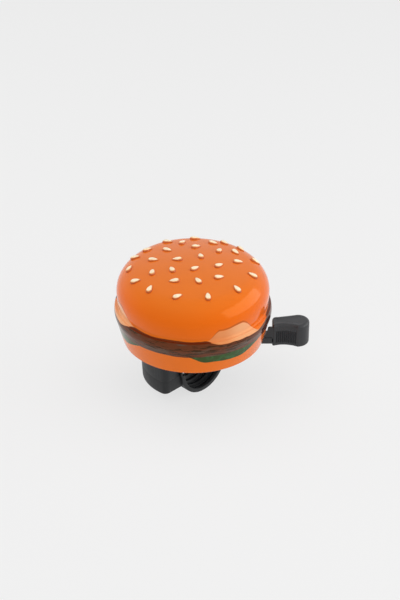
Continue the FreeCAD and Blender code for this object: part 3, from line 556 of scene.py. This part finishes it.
def mesh_of(name: str, vertices: Sequence[Sequence[float]], faces: Sequence[Sequence[int]],
            sharp_degrees: float) -> Mesh:
    """Makes a smooth mesh with outward faces.

    Args:
        name: the mesh's name.
        vertices: places in metres.
        faces: corners of each face.
        sharp_degrees: edges with a wider turn stay sharp.

    Returns:
        The mesh.
    """
    mesh = bpy.data.meshes.new(name)
    mesh.from_pydata([tuple(v) for v in vertices], [], [tuple(f) for f in faces])
    work = bmesh.new()
    work.from_mesh(mesh)
    bmesh.ops.recalc_face_normals(work, faces=work.faces)
    work.to_mesh(mesh)
    work.free()
    smooth(mesh, sharp_degrees)
    return mesh


def smooth(mesh: Mesh, sharp_degrees: float) -> None:
    """Shades a mesh smooth, apart from edges with a wider turn than the angle.

    Args:
        mesh: the mesh.
        sharp_degrees: edges with a wider turn stay sharp.
    """
    mesh.polygons.foreach_set("use_smooth", [True] * len(mesh.polygons))
    mesh.set_sharp_from_angle(angle=math.radians(sharp_degrees))


def plain_mesh(carrier: bpy.types.Object, name: str) -> Mesh:
    """Takes what a carrier's modifiers make as a plain mesh, and removes the carrier.

    Args:
        carrier: the object with the modifiers.
        name: the new mesh's name.

    Returns:
        The plain mesh.
    """
    graph = bpy.context.evaluated_depsgraph_get()
    mesh = bpy.data.meshes.new_from_object(carrier.evaluated_get(graph))
    mesh.name = name
    carrier.modifiers.clear()
    source = carrier.data
    bpy.data.objects.remove(carrier)
    bpy.data.meshes.remove(source)
    return mesh


def arc(start: Point, middle: Point, end: Point, steps: int) -> list[Point]:
    """Points of an arc through three points, without the first.

    Args:
        start: where the arc begins.
        middle: a point that it passes.
        end: where it ends.
        steps: how many points it gets.

    Returns:
        The points, up to the end.
    """
    (ax, ay), (bx, by), (cx, cy) = start, middle, end
    spread = 2 * (ax * (by - cy) + bx * (cy - ay) + cx * (ay - by))
    sa, sb, sc = ax * ax + ay * ay, bx * bx + by * by, cx * cx + cy * cy
    ux = (sa * (by - cy) + sb * (cy - ay) + sc * (ay - by)) / spread
    uy = (sa * (cx - bx) + sb * (ax - cx) + sc * (bx - ax)) / spread
    radius = math.hypot(ax - ux, ay - uy)
    first = math.atan2(ay - uy, ax - ux)
    past = (math.atan2(by - uy, bx - ux) - first) % math.tau
    sweep = (math.atan2(cy - uy, cx - ux) - first) % math.tau
    if past > sweep:
        sweep -= math.tau
    angles = [first + sweep * (i + 1) / steps for i in range(steps)]
    return [(ux + radius * math.cos(t), uy + radius * math.sin(t)) for t in angles]


def run(start: Point, end: Point, steps: int) -> list[Point]:
    """Points of a straight line, without the first.

    Args:
        start: where the line begins.
        end: where it ends.
        steps: how many points it gets.

    Returns:
        The points, up to the end.
    """
    return [(start[0] + (end[0] - start[0]) * step / steps, start[1] + (end[1] - start[1]) * step / steps)
            for step in range(1, steps + 1)]


def walls(rings: int, count: int) -> list[Sequence[int]]:
    """Faces between rings of points that follow each other.

    Args:
        rings: how many rings there are.
        count: how many points each ring has.

    Returns:
        The corners of each face.
    """
    return [(low + step, low + (step + 1) % count, low + count + (step + 1) % count, low + count + step)
            for low in range(0, (rings - 1) * count, count) for step in range(count)]


@dataclass
class Dome:
    """The pressed dome: lower bun, patty band, flare and upper bun, turned from one profile."""

    rim_radius: float = 29.3
    ring_radius: float = 32.5
    ring_height: float = 13.4
    band_half: float = 2.4
    band_step: float = 0.45
    neck_radius: float = 30.9
    neck_height: float = 16.8
    flare_dip: float = 0.25
    bun_radius: float = 31.4
    bun_height: float = 21.8
    shoulder: float = 10.5
    height: float = 34.4
    wall: float = 0.9
    segments: int = 224
    # Points up to the band, along ring, flare, belly, shoulder and crown, and round the rim's lip.
    lower_steps: int = 6
    arc_steps: tuple[int, ...] = (12, 5, 6, 22)
    crown_steps: int = 12
    lip_steps: int = 6
    sharp: float = 55.0
    enamel: BurgerEnamel = field(default_factory=BurgerEnamel)

    @property
    def crown_radius(self) -> float:
        """Radius of the crown's arc, which touches the shoulder's arc.

        Returns:
            The radius.
        """
        across = self.bun_radius - self.shoulder
        rise = self.height - self.bun_height
        return (across ** 2 + rise ** 2 - self.shoulder ** 2) / (2 * (rise - self.shoulder))

    @property
    def crown_lean(self) -> float:
        """Angle from the axis at which the crown runs into the shoulder."""
        return math.asin((self.bun_radius - self.shoulder) / (self.crown_radius - self.shoulder))

    def side(self, inset: float) -> list[Point]:
        """Draws one face of the wall, from the rim up to the axis.

        Args:
            inset: 0 for the outside, or the wall's thickness for the inside.

        Returns:
            Radius and height above the rim of each point.
        """
        crown, centre = self.crown_radius - inset, self.height - self.crown_radius
        lean, round_off = self.crown_lean, self.shoulder - inset
        band = self.ring_radius - self.band_step - inset
        rim, ring = (self.rim_radius - inset, self.wall / 2), (self.ring_radius - inset, self.ring_height)
        low, high = (band, self.ring_height - self.band_half), (band, self.ring_height + self.band_half)
        neck, bun = (self.neck_radius - inset, self.neck_height), (self.bun_radius - inset, self.bun_height)
        flare = ((high[0] + neck[0]) / 2 - self.flare_dip, (high[1] + neck[1]) / 2 - self.flare_dip)
        belly = (bun[0] - (self.bun_radius - self.neck_radius) / 4, (neck[1] + bun[1]) / 2)
        middle = (math.pi / 2 - lean) / 2
        shoulder = (self.bun_radius - self.shoulder + round_off * math.cos(middle),
                    self.bun_height + round_off * math.sin(middle))
        leans = [lean * (1 - step / self.crown_steps) for step in range(self.crown_steps + 1)]
        cap = [(crown * math.sin(angle), centre + crown * math.cos(angle)) for angle in leans]
        points = [rim] + run(rim, low, self.lower_steps)
        arcs = ((low, ring, high), (high, flare, neck), (neck, belly, bun), (bun, shoulder, cap[0]))
        for ends, steps in zip(arcs, self.arc_steps):
            points += arc(*ends, steps)
        return points + cap[1:]

    def build(self) -> Mesh:
        """Turns the wall round the axis.

        Returns:
            The dome's mesh.
        """
        outside, inside = self.side(0.0), self.side(self.wall)
        lip = arc(inside[0], ((inside[0][0] + outside[0][0]) / 2, 0.0), outside[0], self.lip_steps)[:-1]
        profile = outside[::-1] + lip[::-1] + inside
        rings: list[list[int]] = []
        vertices: list[Place] = []
        for radius, height in profile:
            count = 1 if radius < TINY else self.segments
            rings.append(list(range(len(vertices), len(vertices) + count)))
            for step in range(count):
                turn = math.tau * step / self.segments
                vertices.append((radius * math.cos(turn) * MM, radius * math.sin(turn) * MM,
                                 (height + RIM_Z) * MM))
        faces: list[tuple[int, ...]] = []
        for upper, lower in zip(rings, rings[1:]):
            for step in range(self.segments):
                follow = (step + 1) % self.segments
                corners = (upper[step % len(upper)], upper[follow % len(upper)],
                           lower[follow % len(lower)], lower[step % len(lower)])
                faces.append(tuple(dict.fromkeys(corners)))
        return mesh_of("burger_dome", vertices, faces, self.sharp)

    def dress(self) -> None:
        """Puts the enamelled dome in place of its solid."""
        material = self.enamel.material()
        finished_piece("burger_dome", self.build(), material, Body.FRAME, Slot.DOME, "dome_shell")

    def seat(self, distance: float, bearing: float) -> tuple[Vector, Vector]:
        """Finds a place on the upper bun.

        Args:
            distance: from the dome's axis.
            bearing: direction from the bar, in degrees.

        Returns:
            The place in millimetres and the outward direction there.
        """
        crown = self.crown_radius
        if distance < crown * math.sin(self.crown_lean):
            lean = math.asin(distance / crown)
            height = self.height - crown + crown * math.cos(lean)
        else:
            lean = math.asin((distance - self.bun_radius + self.shoulder) / self.shoulder)
            height = self.bun_height + self.shoulder * math.cos(lean)
        turn = math.radians(bearing)
        outward = Vector((math.sin(lean) * math.cos(turn), math.sin(lean) * math.sin(turn), math.cos(lean)))
        place = Vector((distance * math.cos(turn), distance * math.sin(turn), height + RIM_Z))
        return place, outward


@dataclass(frozen=True)
class Viewpoint:
    """Where the photograph was taken from, and the directions of its picture."""

    azimuth: float = 45.0
    elevation: float = 32.0
    distance: float = 672.0
    pixels_per_mm: float = 2.43
    centre_right: float = 2.88
    centre_height: float = 28.9

    @property
    def away(self) -> Vector:
        """Direction from the bell to the camera."""
        return self.towards(0.0, self.elevation)

    @property
    def right(self) -> Vector:
        """Direction to the right of the picture."""
        turn = math.radians(self.azimuth)
        return Vector((math.cos(turn), math.sin(turn), 0.0))

    @property
    def up(self) -> Vector:
        """Direction up the picture."""
        return self.away.cross(self.right)

    @property
    def target(self) -> Vector:
        """Point at the middle of the picture, in metres."""
        return (Vector((0.0, 0.0, self.centre_height)) + self.right * self.centre_right) * MM

    def towards(self, aside: float, elevation: float) -> Vector:
        """Direction from the bell, turned aside from the camera and raised.

        Args:
            aside: degrees to the right of the camera.
            elevation: degrees above the floor.

        Returns:
            The direction.
        """
        turn, rise = math.radians(self.azimuth + aside), math.radians(elevation)
        return Vector((math.sin(turn) * math.cos(rise), -math.cos(turn) * math.cos(rise), math.sin(rise)))


@dataclass
class Seeds:
    """Raised sesame seeds, scattered on the bun as drops that lie down."""

    dome: Dome
    view: Viewpoint
    length: float = 4.6
    width: float = 2.9
    proud: float = 1.25
    girth: float = 0.84
    taper: float = 0.34
    segments: int = 18
    rings: int = 12
    sharp: float = 60.0
    enamel: SeedEnamel = field(default_factory=SeedEnamel)
    # Distance from the axis, bearing from the bar, and lean of the seed's point in the picture, in degrees.
    places: tuple[Place, ...] = (
        (23.6, 133, 0), (23.4, 162, 0), (24, 102, -25), (25.4, 84, -35), (23.6, 188, 20), (25.4, 204, 15),
        (26.4, 60, -30), (19.3, 148, 35), (14.2, 130, 10), (20.6, 111, -15), (15.8, 177, -10),
        (6.1, 104, 110), (15.6, 91, 50), (20.8, 78, -35), (16.7, 211, 0), (7, 202, 180), (10.7, 36, 20),
        (18.6, 54, -2), (25.8, 224, 60), (17.3, 244, 80), (9.8, 256, 120), (4.8, 325, 25), (14.6, 1, 8),
        (24.7, 32, 148), (25, 248, 15), (14.9, 285, 184), (13.3, 324, 130), (24, 2, 130), (23.8, 269, 65),
        (23.2, 300, 22), (23.2, 330, 95))

    def tree(self, material: Material) -> Tree:
        """Builds the tree that sets one drop on each place.

        Args:
            material: the seeds' finish.

        Returns:
            The node tree.
        """
        tree = bpy.data.node_groups.new("seed_scatter", "GeometryNodeTree")
        tree.interface.new_socket("Places", in_out="INPUT", socket_type="NodeSocketGeometry")
        for name in ("Length", "Width", "Height"):
            tree.interface.new_socket(name, in_out="INPUT", socket_type="NodeSocketFloat")
        tree.interface.new_socket("Seeds", in_out="OUTPUT", socket_type="NodeSocketGeometry")
        given = add_node(tree, "NodeGroupInput").outputs
        ball = add_node(tree, "GeometryNodeMeshUVSphere", None,
                        {"Segments": self.segments, "Rings": self.rings, "Radius": 1.0})
        spot = add_node(tree, "ShaderNodeSeparateXYZ", None,
                        {0: add_node(tree, "GeometryNodeInputPosition").outputs[0]}).outputs
        lift = reckon(tree, "MULTIPLY", spot["X"], -1.0)
        marked = add_node(tree, "GeometryNodeStoreNamedAttribute", {"data_type": "FLOAT", "domain": "POINT"},
                          {"Geometry": ball.outputs["Mesh"], "Name": "crown", "Value": lift})
        thin = reckon(tree, "MULTIPLY_ADD", spot["Z"], -self.taper, self.girth)
        scaled = [reckon(tree, "MULTIPLY", spot["Z"], given["Length"])]
        for coordinate, size in ((spot["Y"], given["Width"]), (lift, given["Height"])):
            scaled.append(reckon(tree, "MULTIPLY", reckon(tree, "MULTIPLY", coordinate, size), thin))
        drop_place = add_node(tree, "ShaderNodeCombineXYZ", None, dict(enumerate(scaled)))
        drop = add_node(tree, "GeometryNodeSetPosition", None,
                        {"Geometry": marked.outputs[0], "Position": drop_place.outputs[0]})
        seat = add_node(tree, "GeometryNodeInputNamedAttribute", {"data_type": "FLOAT_VECTOR"},
                        {"Name": "seat"})
        turn = add_node(tree, "FunctionNodeEulerToRotation", None, {0: seat.outputs[0]})
        set_down = add_node(tree, "GeometryNodeInstanceOnPoints", None,
                            {"Points": given["Places"], "Instance": drop.outputs[0],
                             "Rotation": turn.outputs[0]})
        real = add_node(tree, "GeometryNodeRealizeInstances", None, {0: set_down.outputs[0]})
        painted = add_node(tree, "GeometryNodeSetMaterial", None,
                           {"Geometry": real.outputs[0], "Material": material})
        add_node(tree, "NodeGroupOutput", None, {0: painted.outputs[0]})
        return tree

    def build(self, material: Material) -> Mesh:
        """Scatters the seeds over the bun.

        Args:
            material: the seeds' finish.

        Returns:
            One mesh with every seed.
        """
        feet: list[Vector] = []
        seats: list[float] = []
        for distance, bearing, lean in self.places:
            place, outward = self.dome.seat(distance, bearing)
            tilt = math.radians(lean)
            drawn = self.view.right * math.cos(tilt) + self.view.up * math.sin(tilt)
            along = drawn - self.view.away * (drawn.dot(outward) / self.view.away.dot(outward))
            along.normalize()
            basis = Matrix((along, outward.cross(along), outward)).transposed()
            feet.append(place * MM)
            seats.extend(basis.to_euler())
        points = bpy.data.meshes.new("seed_places")
        points.from_pydata(feet, [], [])
        points.attributes.new("seat", "FLOAT_VECTOR", "POINT").data.foreach_set("vector", seats)
        carrier = bpy.data.objects.new("seed_places", points)
        bpy.context.scene.collection.objects.link(carrier)
        tree = self.tree(material)
        modifier = carrier.modifiers.new("scatter", "NODES")
        modifier.node_group = tree
        sizes = {"Length": self.length / 2, "Width": self.width / 2, "Height": self.proud}
        for socket in tree.interface.items_tree:
            if socket.in_out == "INPUT" and socket.name in sizes:
                modifier[socket.identifier] = sizes[socket.name] * MM
        mesh = plain_mesh(carrier, "seed_dabs")
        smooth(mesh, self.sharp)
        return mesh

    def dress(self) -> None:
        """Puts the painted seeds in place of their solids."""
        material = self.enamel.material()
        finished_piece("seed_dabs", self.build(material), material, Body.FRAME, Slot.SEED, "sesame_seeds")


@dataclass
class Moulding:
    """A moulded piece that keeps its solid's shape and gets softened edges."""

    name: str
    node: str
    body: Body
    edge: float
    segments: int = 3
    # Corners closer than this are one, and faces that differ by less than this angle are one.
    weld: float = 0.0005
    flat: float = 0.5
    # Edges that turn by more than the first angle are rounded, and past the second they are shaded sharp.
    round_from: float = 35.0
    sharp: float = 30.0
    # The clamp is drawn up: the faces of its slit, this far from the bar's middle, close to a hair line.
    split: float = 0.2
    closed: float = 0.15
    near: float = 0.001

    def blank(self) -> bmesh.types.BMesh:
        """Copies the solid's mesh with its triangles joined to flat faces.

        Returns:
            The working mesh.
        """
        work = bmesh.new()
        work.from_mesh(frame["nodes"][self.node].data)
        bmesh.ops.remove_doubles(work, verts=work.verts, dist=self.weld * MM)
        bmesh.ops.dissolve_limit(work, angle_limit=math.radians(self.flat), verts=work.verts,
                                 edges=work.edges)
        for vertex in work.verts:
            if abs(abs(vertex.co.z) - self.split * MM) < self.near * MM:
                vertex.co.z *= self.closed
        return work

    def soften(self, work: bmesh.types.BMesh) -> Mesh:
        """Rounds the sharp edges of a working mesh.

        Args:
            work: the working mesh, which is freed.

        Returns:
            The softened mesh.
        """
        mesh = bpy.data.meshes.new(f"{self.name}_blank")
        work.to_mesh(mesh)
        work.free()
        carrier = bpy.data.objects.new(f"{self.name}_blank", mesh)
        bpy.context.scene.collection.objects.link(carrier)
        bevel = carrier.modifiers.new("soft_edges", "BEVEL")
        bevel.width = self.edge * MM
        bevel.segments = self.segments
        bevel.limit_method = "ANGLE"
        bevel.angle_limit = math.radians(self.round_from)
        softened = plain_mesh(carrier, self.name)
        smooth(softened, self.sharp)
        return softened

    def build(self) -> Mesh:
        """Makes the softened copy of the whole solid."""
        return self.soften(self.blank())

    def dress(self, material: Material) -> None:
        """Puts the softened piece in place of its solid.

        Args:
            material: the black plastic.
        """
        finished_piece(self.name, self.build(), material, self.body, Slot.PLASTIC, self.node)


@dataclass
class LeverArm(Moulding):
    """Hub, toothed sector and arms of the lever, cut off where the thumb pad begins."""

    bearing: float = LEVER_BEARING
    pad_start: float = 32.85

    def build(self) -> Mesh:
        """Makes the softened copy without the pad.

        Returns:
            The arm's mesh.
        """
        work = self.blank()
        turn = math.radians(self.bearing)
        along = Vector((math.cos(turn), math.sin(turn), 0.0))
        bmesh.ops.bisect_plane(work, geom=[*work.verts, *work.edges, *work.faces],
                               plane_co=along * self.pad_start * MM, plane_no=along, clear_outer=True)
        bmesh.ops.holes_fill(work, edges=[edge for edge in work.edges if edge.is_boundary])
        return self.soften(work)


@dataclass
class ThumbPad:
    """The lever's thumb pad: hollow and ribbed on the thumb side, round at the tip, rolled at its edges."""

    bearing: float = LEVER_BEARING
    inner: float = 32.9
    outer: float = 48.4
    tip: float = 5.0
    lead: float = 1.2
    back: float = 4.8
    front: float = 2.8
    waist: float = 2.2
    corner: float = 2.4
    nib: float = 0.9
    foot_z: float = 7.9
    height: float = 10.2
    rise: float = 0.5
    roll: float = 1.3
    foot_roll: float = 0.7
    rib_count: int = 11
    rib_depth: float = 0.5
    # Ribbed share of the thumb side, heights where the ribs begin, and shares of the height where they end.
    rib_share: Point = (0.06, 0.94)
    rib_start: Point = (1.2, 1.6)
    rib_end: Point = (0.66, 0.74)
    # Depth and inset of the dished top, past the roll.
    dish: tuple[Point, ...] = ((0.08, 0.6), (0.16, 1.2))
    # The inset starts at this share at the inner end, and is whole within about this length.
    ease_share: float = 0.35
    ease_run: float = 3.0
    # Points along thumb side, tip, back, corner, inner end, nib and roll.
    thumb_steps: int = 132
    tip_steps: int = 40
    back_steps: int = 8
    corner_steps: int = 10
    end_steps: int = 6
    nib_steps: int = 6
    roll_steps: int = 6
    sharp: float = 70.0

    def outline(self) -> list[Place]:
        """Draws the pad in plan, with the ribbed share of each point.

        Returns:
            Distance from the dome's axis, distance aside, and the rib's depth there.
        """
        tip_x = self.outer - self.tip
        start, end = (self.inner + self.nib, -self.front), (tip_x, self.lead - self.tip)
        middle = ((self.inner + tip_x) / 2, -self.waist)
        first, last = self.rib_share
        points: list[Place] = []
        for index, (x, y) in enumerate([start] + arc(start, middle, end, self.thumb_steps)):
            share = index / self.thumb_steps
            wave = 0.5 - 0.5 * math.cos(math.tau * self.rib_count * (share - first) / (last - first))
            points.append((x, y, self.rib_depth * wave if first < share < last else 0.0))
        tail = arc(end, (self.outer, self.lead), (tip_x, self.lead + self.tip), self.tip_steps)
        shoulder = (self.inner + self.corner, self.back)
        tail += run(tail[-1], shoulder, self.back_steps)
        slant = self.corner * (1 - math.sqrt(0.5))
        tail += arc(shoulder, (self.inner + slant, self.back - slant), (self.inner, self.back - self.corner),
                    self.corner_steps)
        tail += run(tail[-1], (self.inner, self.nib - self.front), self.end_steps)
        slant = self.nib * (1 - math.sqrt(0.5))
        tail += arc(tail[-1], (self.inner + slant, slant - self.front), start, self.nib_steps)[:-1]
        return points + [(x, y, 0.0) for x, y in tail]

    def levels(self) -> list[Place]:
        """Lists the layers of the pad from its foot up.

        Returns:
            Height, inset and share of the ribs at each layer.
        """
        angles = [math.pi / 2 * step / self.roll_steps for step in range(self.roll_steps + 1)]
        low, high, roll = self.roll * self.foot_roll, self.height, self.roll
        foot = [(low * (1 - math.cos(angle)), low * (1 - math.sin(angle)), 0.0) for angle in angles]
        shaft = [(self.rib_start[0], 0.0, 0.0), (self.rib_start[1], 0.0, 1.0),
                 (high * self.rib_end[0], 0.0, 1.0), (high * self.rib_end[1], 0.0, 0.0)]
        head = [(high - roll * (1 - math.sin(angle)), roll * (1 - math.cos(angle)), 0.0) for angle in angles]
        return foot + shaft + head + [(high - depth, roll + inset, 0.0) for depth, inset in self.dish]

    def build(self) -> Mesh:
        """Stacks the layers to the pad's mesh.

        Returns:
            The pad's mesh.
        """
        points = self.outline()
        count = len(points)
        normals = []
        for index in range(count):
            (ax, ay, _), (bx, by, _) = points[index - 1], points[(index + 1) % count]
            length = math.hypot(bx - ax, by - ay)
            normals.append(((ay - by) / length, (bx - ax) / length))
        turn = Matrix.Rotation(math.radians(self.bearing), 3, "Z")
        vertices = []
        levels = self.levels()
        for height, inset, ribs in levels:
            for (x, y, rib), (nx, ny) in zip(points, normals):
                lift = 1 + self.rise / self.height * ((x - self.inner) / (self.outer - self.inner)) ** 2
                ease = min(1.0, self.ease_share + (x - self.inner) / self.ease_run)
                step = inset * ease + rib * ribs
                place = Vector((x + nx * step, y + ny * step, self.foot_z + height * lift))
                vertices.append(turn @ place * MM)
        faces: list[Sequence[int]] = []
        for first in (0, (len(levels) - 1) * count):
            ring = vertices[first:first + count]
            vertices.append(sum(ring, Vector()) / count)
            faces += [(first + index, first + (index + 1) % count, len(vertices) - 1)
                      for index in range(count)]
        return mesh_of("thumb_pad", vertices, faces + walls(len(levels), count), self.sharp)

    def dress(self, material: Material) -> None:
        """Puts the pad on the lever.

        Args:
            material: the black plastic.
        """
        finished_piece("thumb_pad", self.build(), material, Body.LEVER, Slot.PLASTIC)


@dataclass
class Trim:
    """Small moulded lips: the nose between dome and pad, and the rim of the saddle above the strap."""

    bearing: float = LEVER_BEARING
    # Distance from the dome's axis and height of each corner of the nose.
    nose: tuple[Point, ...] = ((30.0, 11.6), (33.3, 11.6), (33.3, 16.8), (33.0, 17.2), (31.5, 17.2),
                               (31.1, 16.8))
    nose_front: float = -2.7
    nose_back: float = -1.95
    lip_inner: float = 12.25
    lip_outer: float = 13.3
    lip_start: float = 4.6
    lip_end: float = 6.5
    lip_round: float = 0.3
    slit: float = 0.03
    steps: int = 48
    nose_sharp: float = 20.0
    lip_sharp: float = 40.0

    def pad_nose(self) -> Mesh:
        """Draws the nose as a plate along the pad's thumb side, which follows the dome's wall.

        Returns:
            The nose's mesh.
        """
        turn = Matrix.Rotation(math.radians(self.bearing), 3, "Z")
        count = len(self.nose)
        vertices = [turn @ Vector((along, aside, height)) * MM
                    for aside in (self.nose_front, self.nose_back) for along, height in self.nose]
        ends = [range(count), range(count, 2 * count)]
        return mesh_of("pad_nose", vertices, ends + walls(2, count), self.nose_sharp)

    def saddle_lip(self) -> Mesh:
        """Turns the lip's section round the bar, over the upper half.

        Returns:
            The lip's mesh.
        """
        cut = self.lip_round
        section = ((self.lip_start, self.lip_inner), (self.lip_end - cut, self.lip_inner),
                   (self.lip_end, self.lip_inner + cut), (self.lip_end, self.lip_outer - cut),
                   (self.lip_end - cut, self.lip_outer), (self.lip_start, self.lip_outer))
        count = len(section)
        first = math.asin(self.slit / self.lip_inner)
        vertices = []
        for step in range(self.steps + 1):
            angle = first + (math.pi - 2 * first) * step / self.steps
            vertices += [(x * MM, radius * math.cos(angle) * MM, radius * math.sin(angle) * MM)
                         for x, radius in section]
        ends = [range(count), range(self.steps * count, (self.steps + 1) * count)]
        return mesh_of("saddle_lip", vertices, ends + walls(self.steps + 1, count), self.lip_sharp)

    def dress(self, plastic: Material, clamp: Material) -> None:
        """Puts the lips on lever and bracket.

        Args:
            plastic: the lever's material.
            clamp: the bracket's material.
        """
        finished_piece("pad_nose", self.pad_nose(), plastic, Body.LEVER, Slot.PLASTIC)
        finished_piece("saddle_lip", self.saddle_lip(), clamp, Body.FRAME, Slot.PLASTIC)


@dataclass
class Mechanism:
    """Striker, gears, spring, plate and fasteners, which keep their solids."""

    finishes: dict[str, Surface] = field(default_factory=lambda: {
        Slot.STEEL.value: Finish.ZINC.value, Slot.SPRING.value: Finish.WIRE.value,
        Slot.RUBBER.value: Finish.RUBBER.value, Slot.NYLON.value: Finish.NYLON.value})

    def dress(self) -> None:
        """Gives each solid the finish of its slot, with its shading left as imported."""
        made: dict[str, Material] = {}
        for entry in frame["record"]["subparts"]:
            slot = entry["material_slot"]
            if slot not in self.finishes:
                continue
            if slot not in made:
                made[slot] = self.finishes[slot].material()
            materials = frame["nodes"][entry["node"]].data.materials
            materials.clear()
            materials.append(made[slot])
            log.info("solid %s: %s", entry["node"], made[slot].name)


@dataclass(frozen=True)
class Softbox:
    """A rectangular soft light, placed from the camera's side of the bell, that gloss may mirror or not."""

    name: str
    aside: float
    elevation: float
    distance: float
    width: float
    height: float
    power: float
    mirrored: bool = True

    def place(self, view: Viewpoint) -> None:
        """Puts the light in the scene, facing the bell.

        Args:
            view: where the picture is taken from.
        """
        lamp = bpy.data.lights.new(self.name, "AREA")
        lamp.shape = "RECTANGLE"
        lamp.size, lamp.size_y, lamp.energy = self.width, self.height, self.power
        light = bpy.data.objects.new(self.name, lamp)
        towards = view.towards(self.aside, self.elevation)
        light.location = view.target + towards * self.distance
        light.rotation_euler = towards.to_track_quat("Z", "Y").to_euler()
        light.visible_glossy = self.mirrored
        bpy.context.scene.collection.objects.link(light)


@dataclass
class Studio:
    """Pale floor, soft lights and the camera."""

    view: Viewpoint
    floor_z: float = -12.86
    floor_half: float = 4.0
    paper: str = "#F1F1F1"
    surround: str = "#F4F4F4"
    surround_level: float = 0.26
    shadow_share: float = 0.22
    sensor_height: float = 24.0
    clip_start: float = 0.01
    softboxes: tuple[Softbox, ...] = (
        Softbox("right_softbox", 82.0, 19.0, 0.55, 0.74, 0.36, 1.5),
        Softbox("left_softbox", -110.0, 12.0, 0.7, 0.5, 0.4, 1.2, False),
        Softbox("front_softbox", -15.0, 34.0, 0.9, 0.9, 0.9, 1.5, False),
        Softbox("top_softbox", 0.0, 86.0, 0.9, 1.4, 1.4, 7.2, False),
    )

    def seen(self, tree: Tree) -> Socket:
        """Marks rays from the camera, and from gloss and glass that mirror the background.

        Args:
            tree: the tree of the floor or the room.

        Returns:
            The socket of the mark.
        """
        path = add_node(tree, "ShaderNodeLightPath").outputs
        first = reckon(tree, "MAXIMUM", path["Is Camera Ray"], path["Is Glossy Ray"])
        return reckon(tree, "MAXIMUM", first, path["Is Transmission Ray"])

    def floor(self) -> None:
        """Lays the pale floor, which shows its own colour and a soft shadow."""
        half = self.floor_half
        corners = [(-half, -half), (half, -half), (half, half), (-half, half)]
        mesh = bpy.data.meshes.new("floor")
        mesh.from_pydata([(x, y, self.floor_z * MM) for x, y in corners], [], [(0, 1, 2, 3)])
        material = bpy.data.materials.new("paper_sweep")
        material.use_nodes = True
        tree = material.node_tree
        tree.nodes.remove(tree.nodes["Principled BSDF"])
        lit = add_node(tree, "ShaderNodeBsdfDiffuse", None, {"Color": linear(self.paper)})
        glow = add_node(tree, "ShaderNodeEmission", None, {"Color": linear(self.paper), "Strength": 1.0})
        share = reckon(tree, "MULTIPLY", self.seen(tree), 1 - self.shadow_share)
        both = add_node(tree, "ShaderNodeMixShader", None,
                        {0: share, 1: lit.outputs[0], 2: glow.outputs[0]})
        tree.links.new(both.outputs[0], tree.nodes["Material Output"].inputs["Surface"])
        mesh.materials.append(material)
        floor = bpy.data.objects.new("floor", mesh)
        bpy.context.scene.collection.objects.link(floor)

    def surroundings(self) -> None:
        """Lights the bell evenly from the room, which looks as pale as the floor."""
        world = bpy.data.worlds.new("studio_room")
        world.use_nodes = True
        tree = world.node_tree
        room = tree.nodes["Background"]
        room.inputs["Color"].default_value = linear(self.surround)
        room.inputs["Strength"].default_value = self.surround_level
        backdrop = add_node(tree, "ShaderNodeBackground", None,
                            {"Color": linear(self.paper), "Strength": 1.0})
        both = add_node(tree, "ShaderNodeMixShader", None,
                        {0: self.seen(tree), 1: room.outputs[0], 2: backdrop.outputs[0]})
        tree.links.new(both.outputs[0], tree.nodes["World Output"].inputs["Surface"])
        bpy.context.scene.world = world

    def camera(self) -> None:
        """Sets the camera at the photograph's angle and scale."""
        lens = bpy.data.cameras.new("camera")
        lens.sensor_fit = "VERTICAL"
        lens.sensor_height = self.sensor_height
        lens.lens = lens.sensor_height * self.view.pixels_per_mm * self.view.distance / IMAGE_HEIGHT
        lens.clip_start = self.clip_start
        camera = bpy.data.objects.new("camera", lens)
        camera.location = self.view.target + self.view.away * self.view.distance * MM
        camera.rotation_euler = self.view.away.to_track_quat("Z", "Y").to_euler()
        bpy.context.scene.collection.objects.link(camera)
        bpy.context.scene.camera = camera

    def build(self) -> None:
        """Sets up floor, light and camera."""
        self.floor()
        self.surroundings()
        for softbox in self.softboxes:
            softbox.place(self.view)
        self.camera()
        bpy.context.scene.view_settings.view_transform = "Standard"


def main() -> None:
    """Builds and dresses the bell, then the studio round it."""
    logging.basicConfig(level=logging.INFO, format="%(name)s %(message)s")
    view = Viewpoint()
    dome = Dome()
    dome.dress()
    Seeds(dome, view).dress()
    plastic, clamp = Finish.ABS.value.material(), Finish.CLAMP.value.material()
    Moulding("bracket_moulding", "bracket", Body.FRAME, 0.2).dress(clamp)
    Moulding("strap_moulding", "clamp_strap", Body.STRAP, 0.2).dress(clamp)
    LeverArm("lever_arm", "thumb_lever", Body.LEVER, 0.25).dress(plastic)
    ThumbPad().dress(plastic)
    Trim().dress(plastic, clamp)
    Mechanism().dress()
    Studio(view).build()


if __name__ == "__main__":
    main()
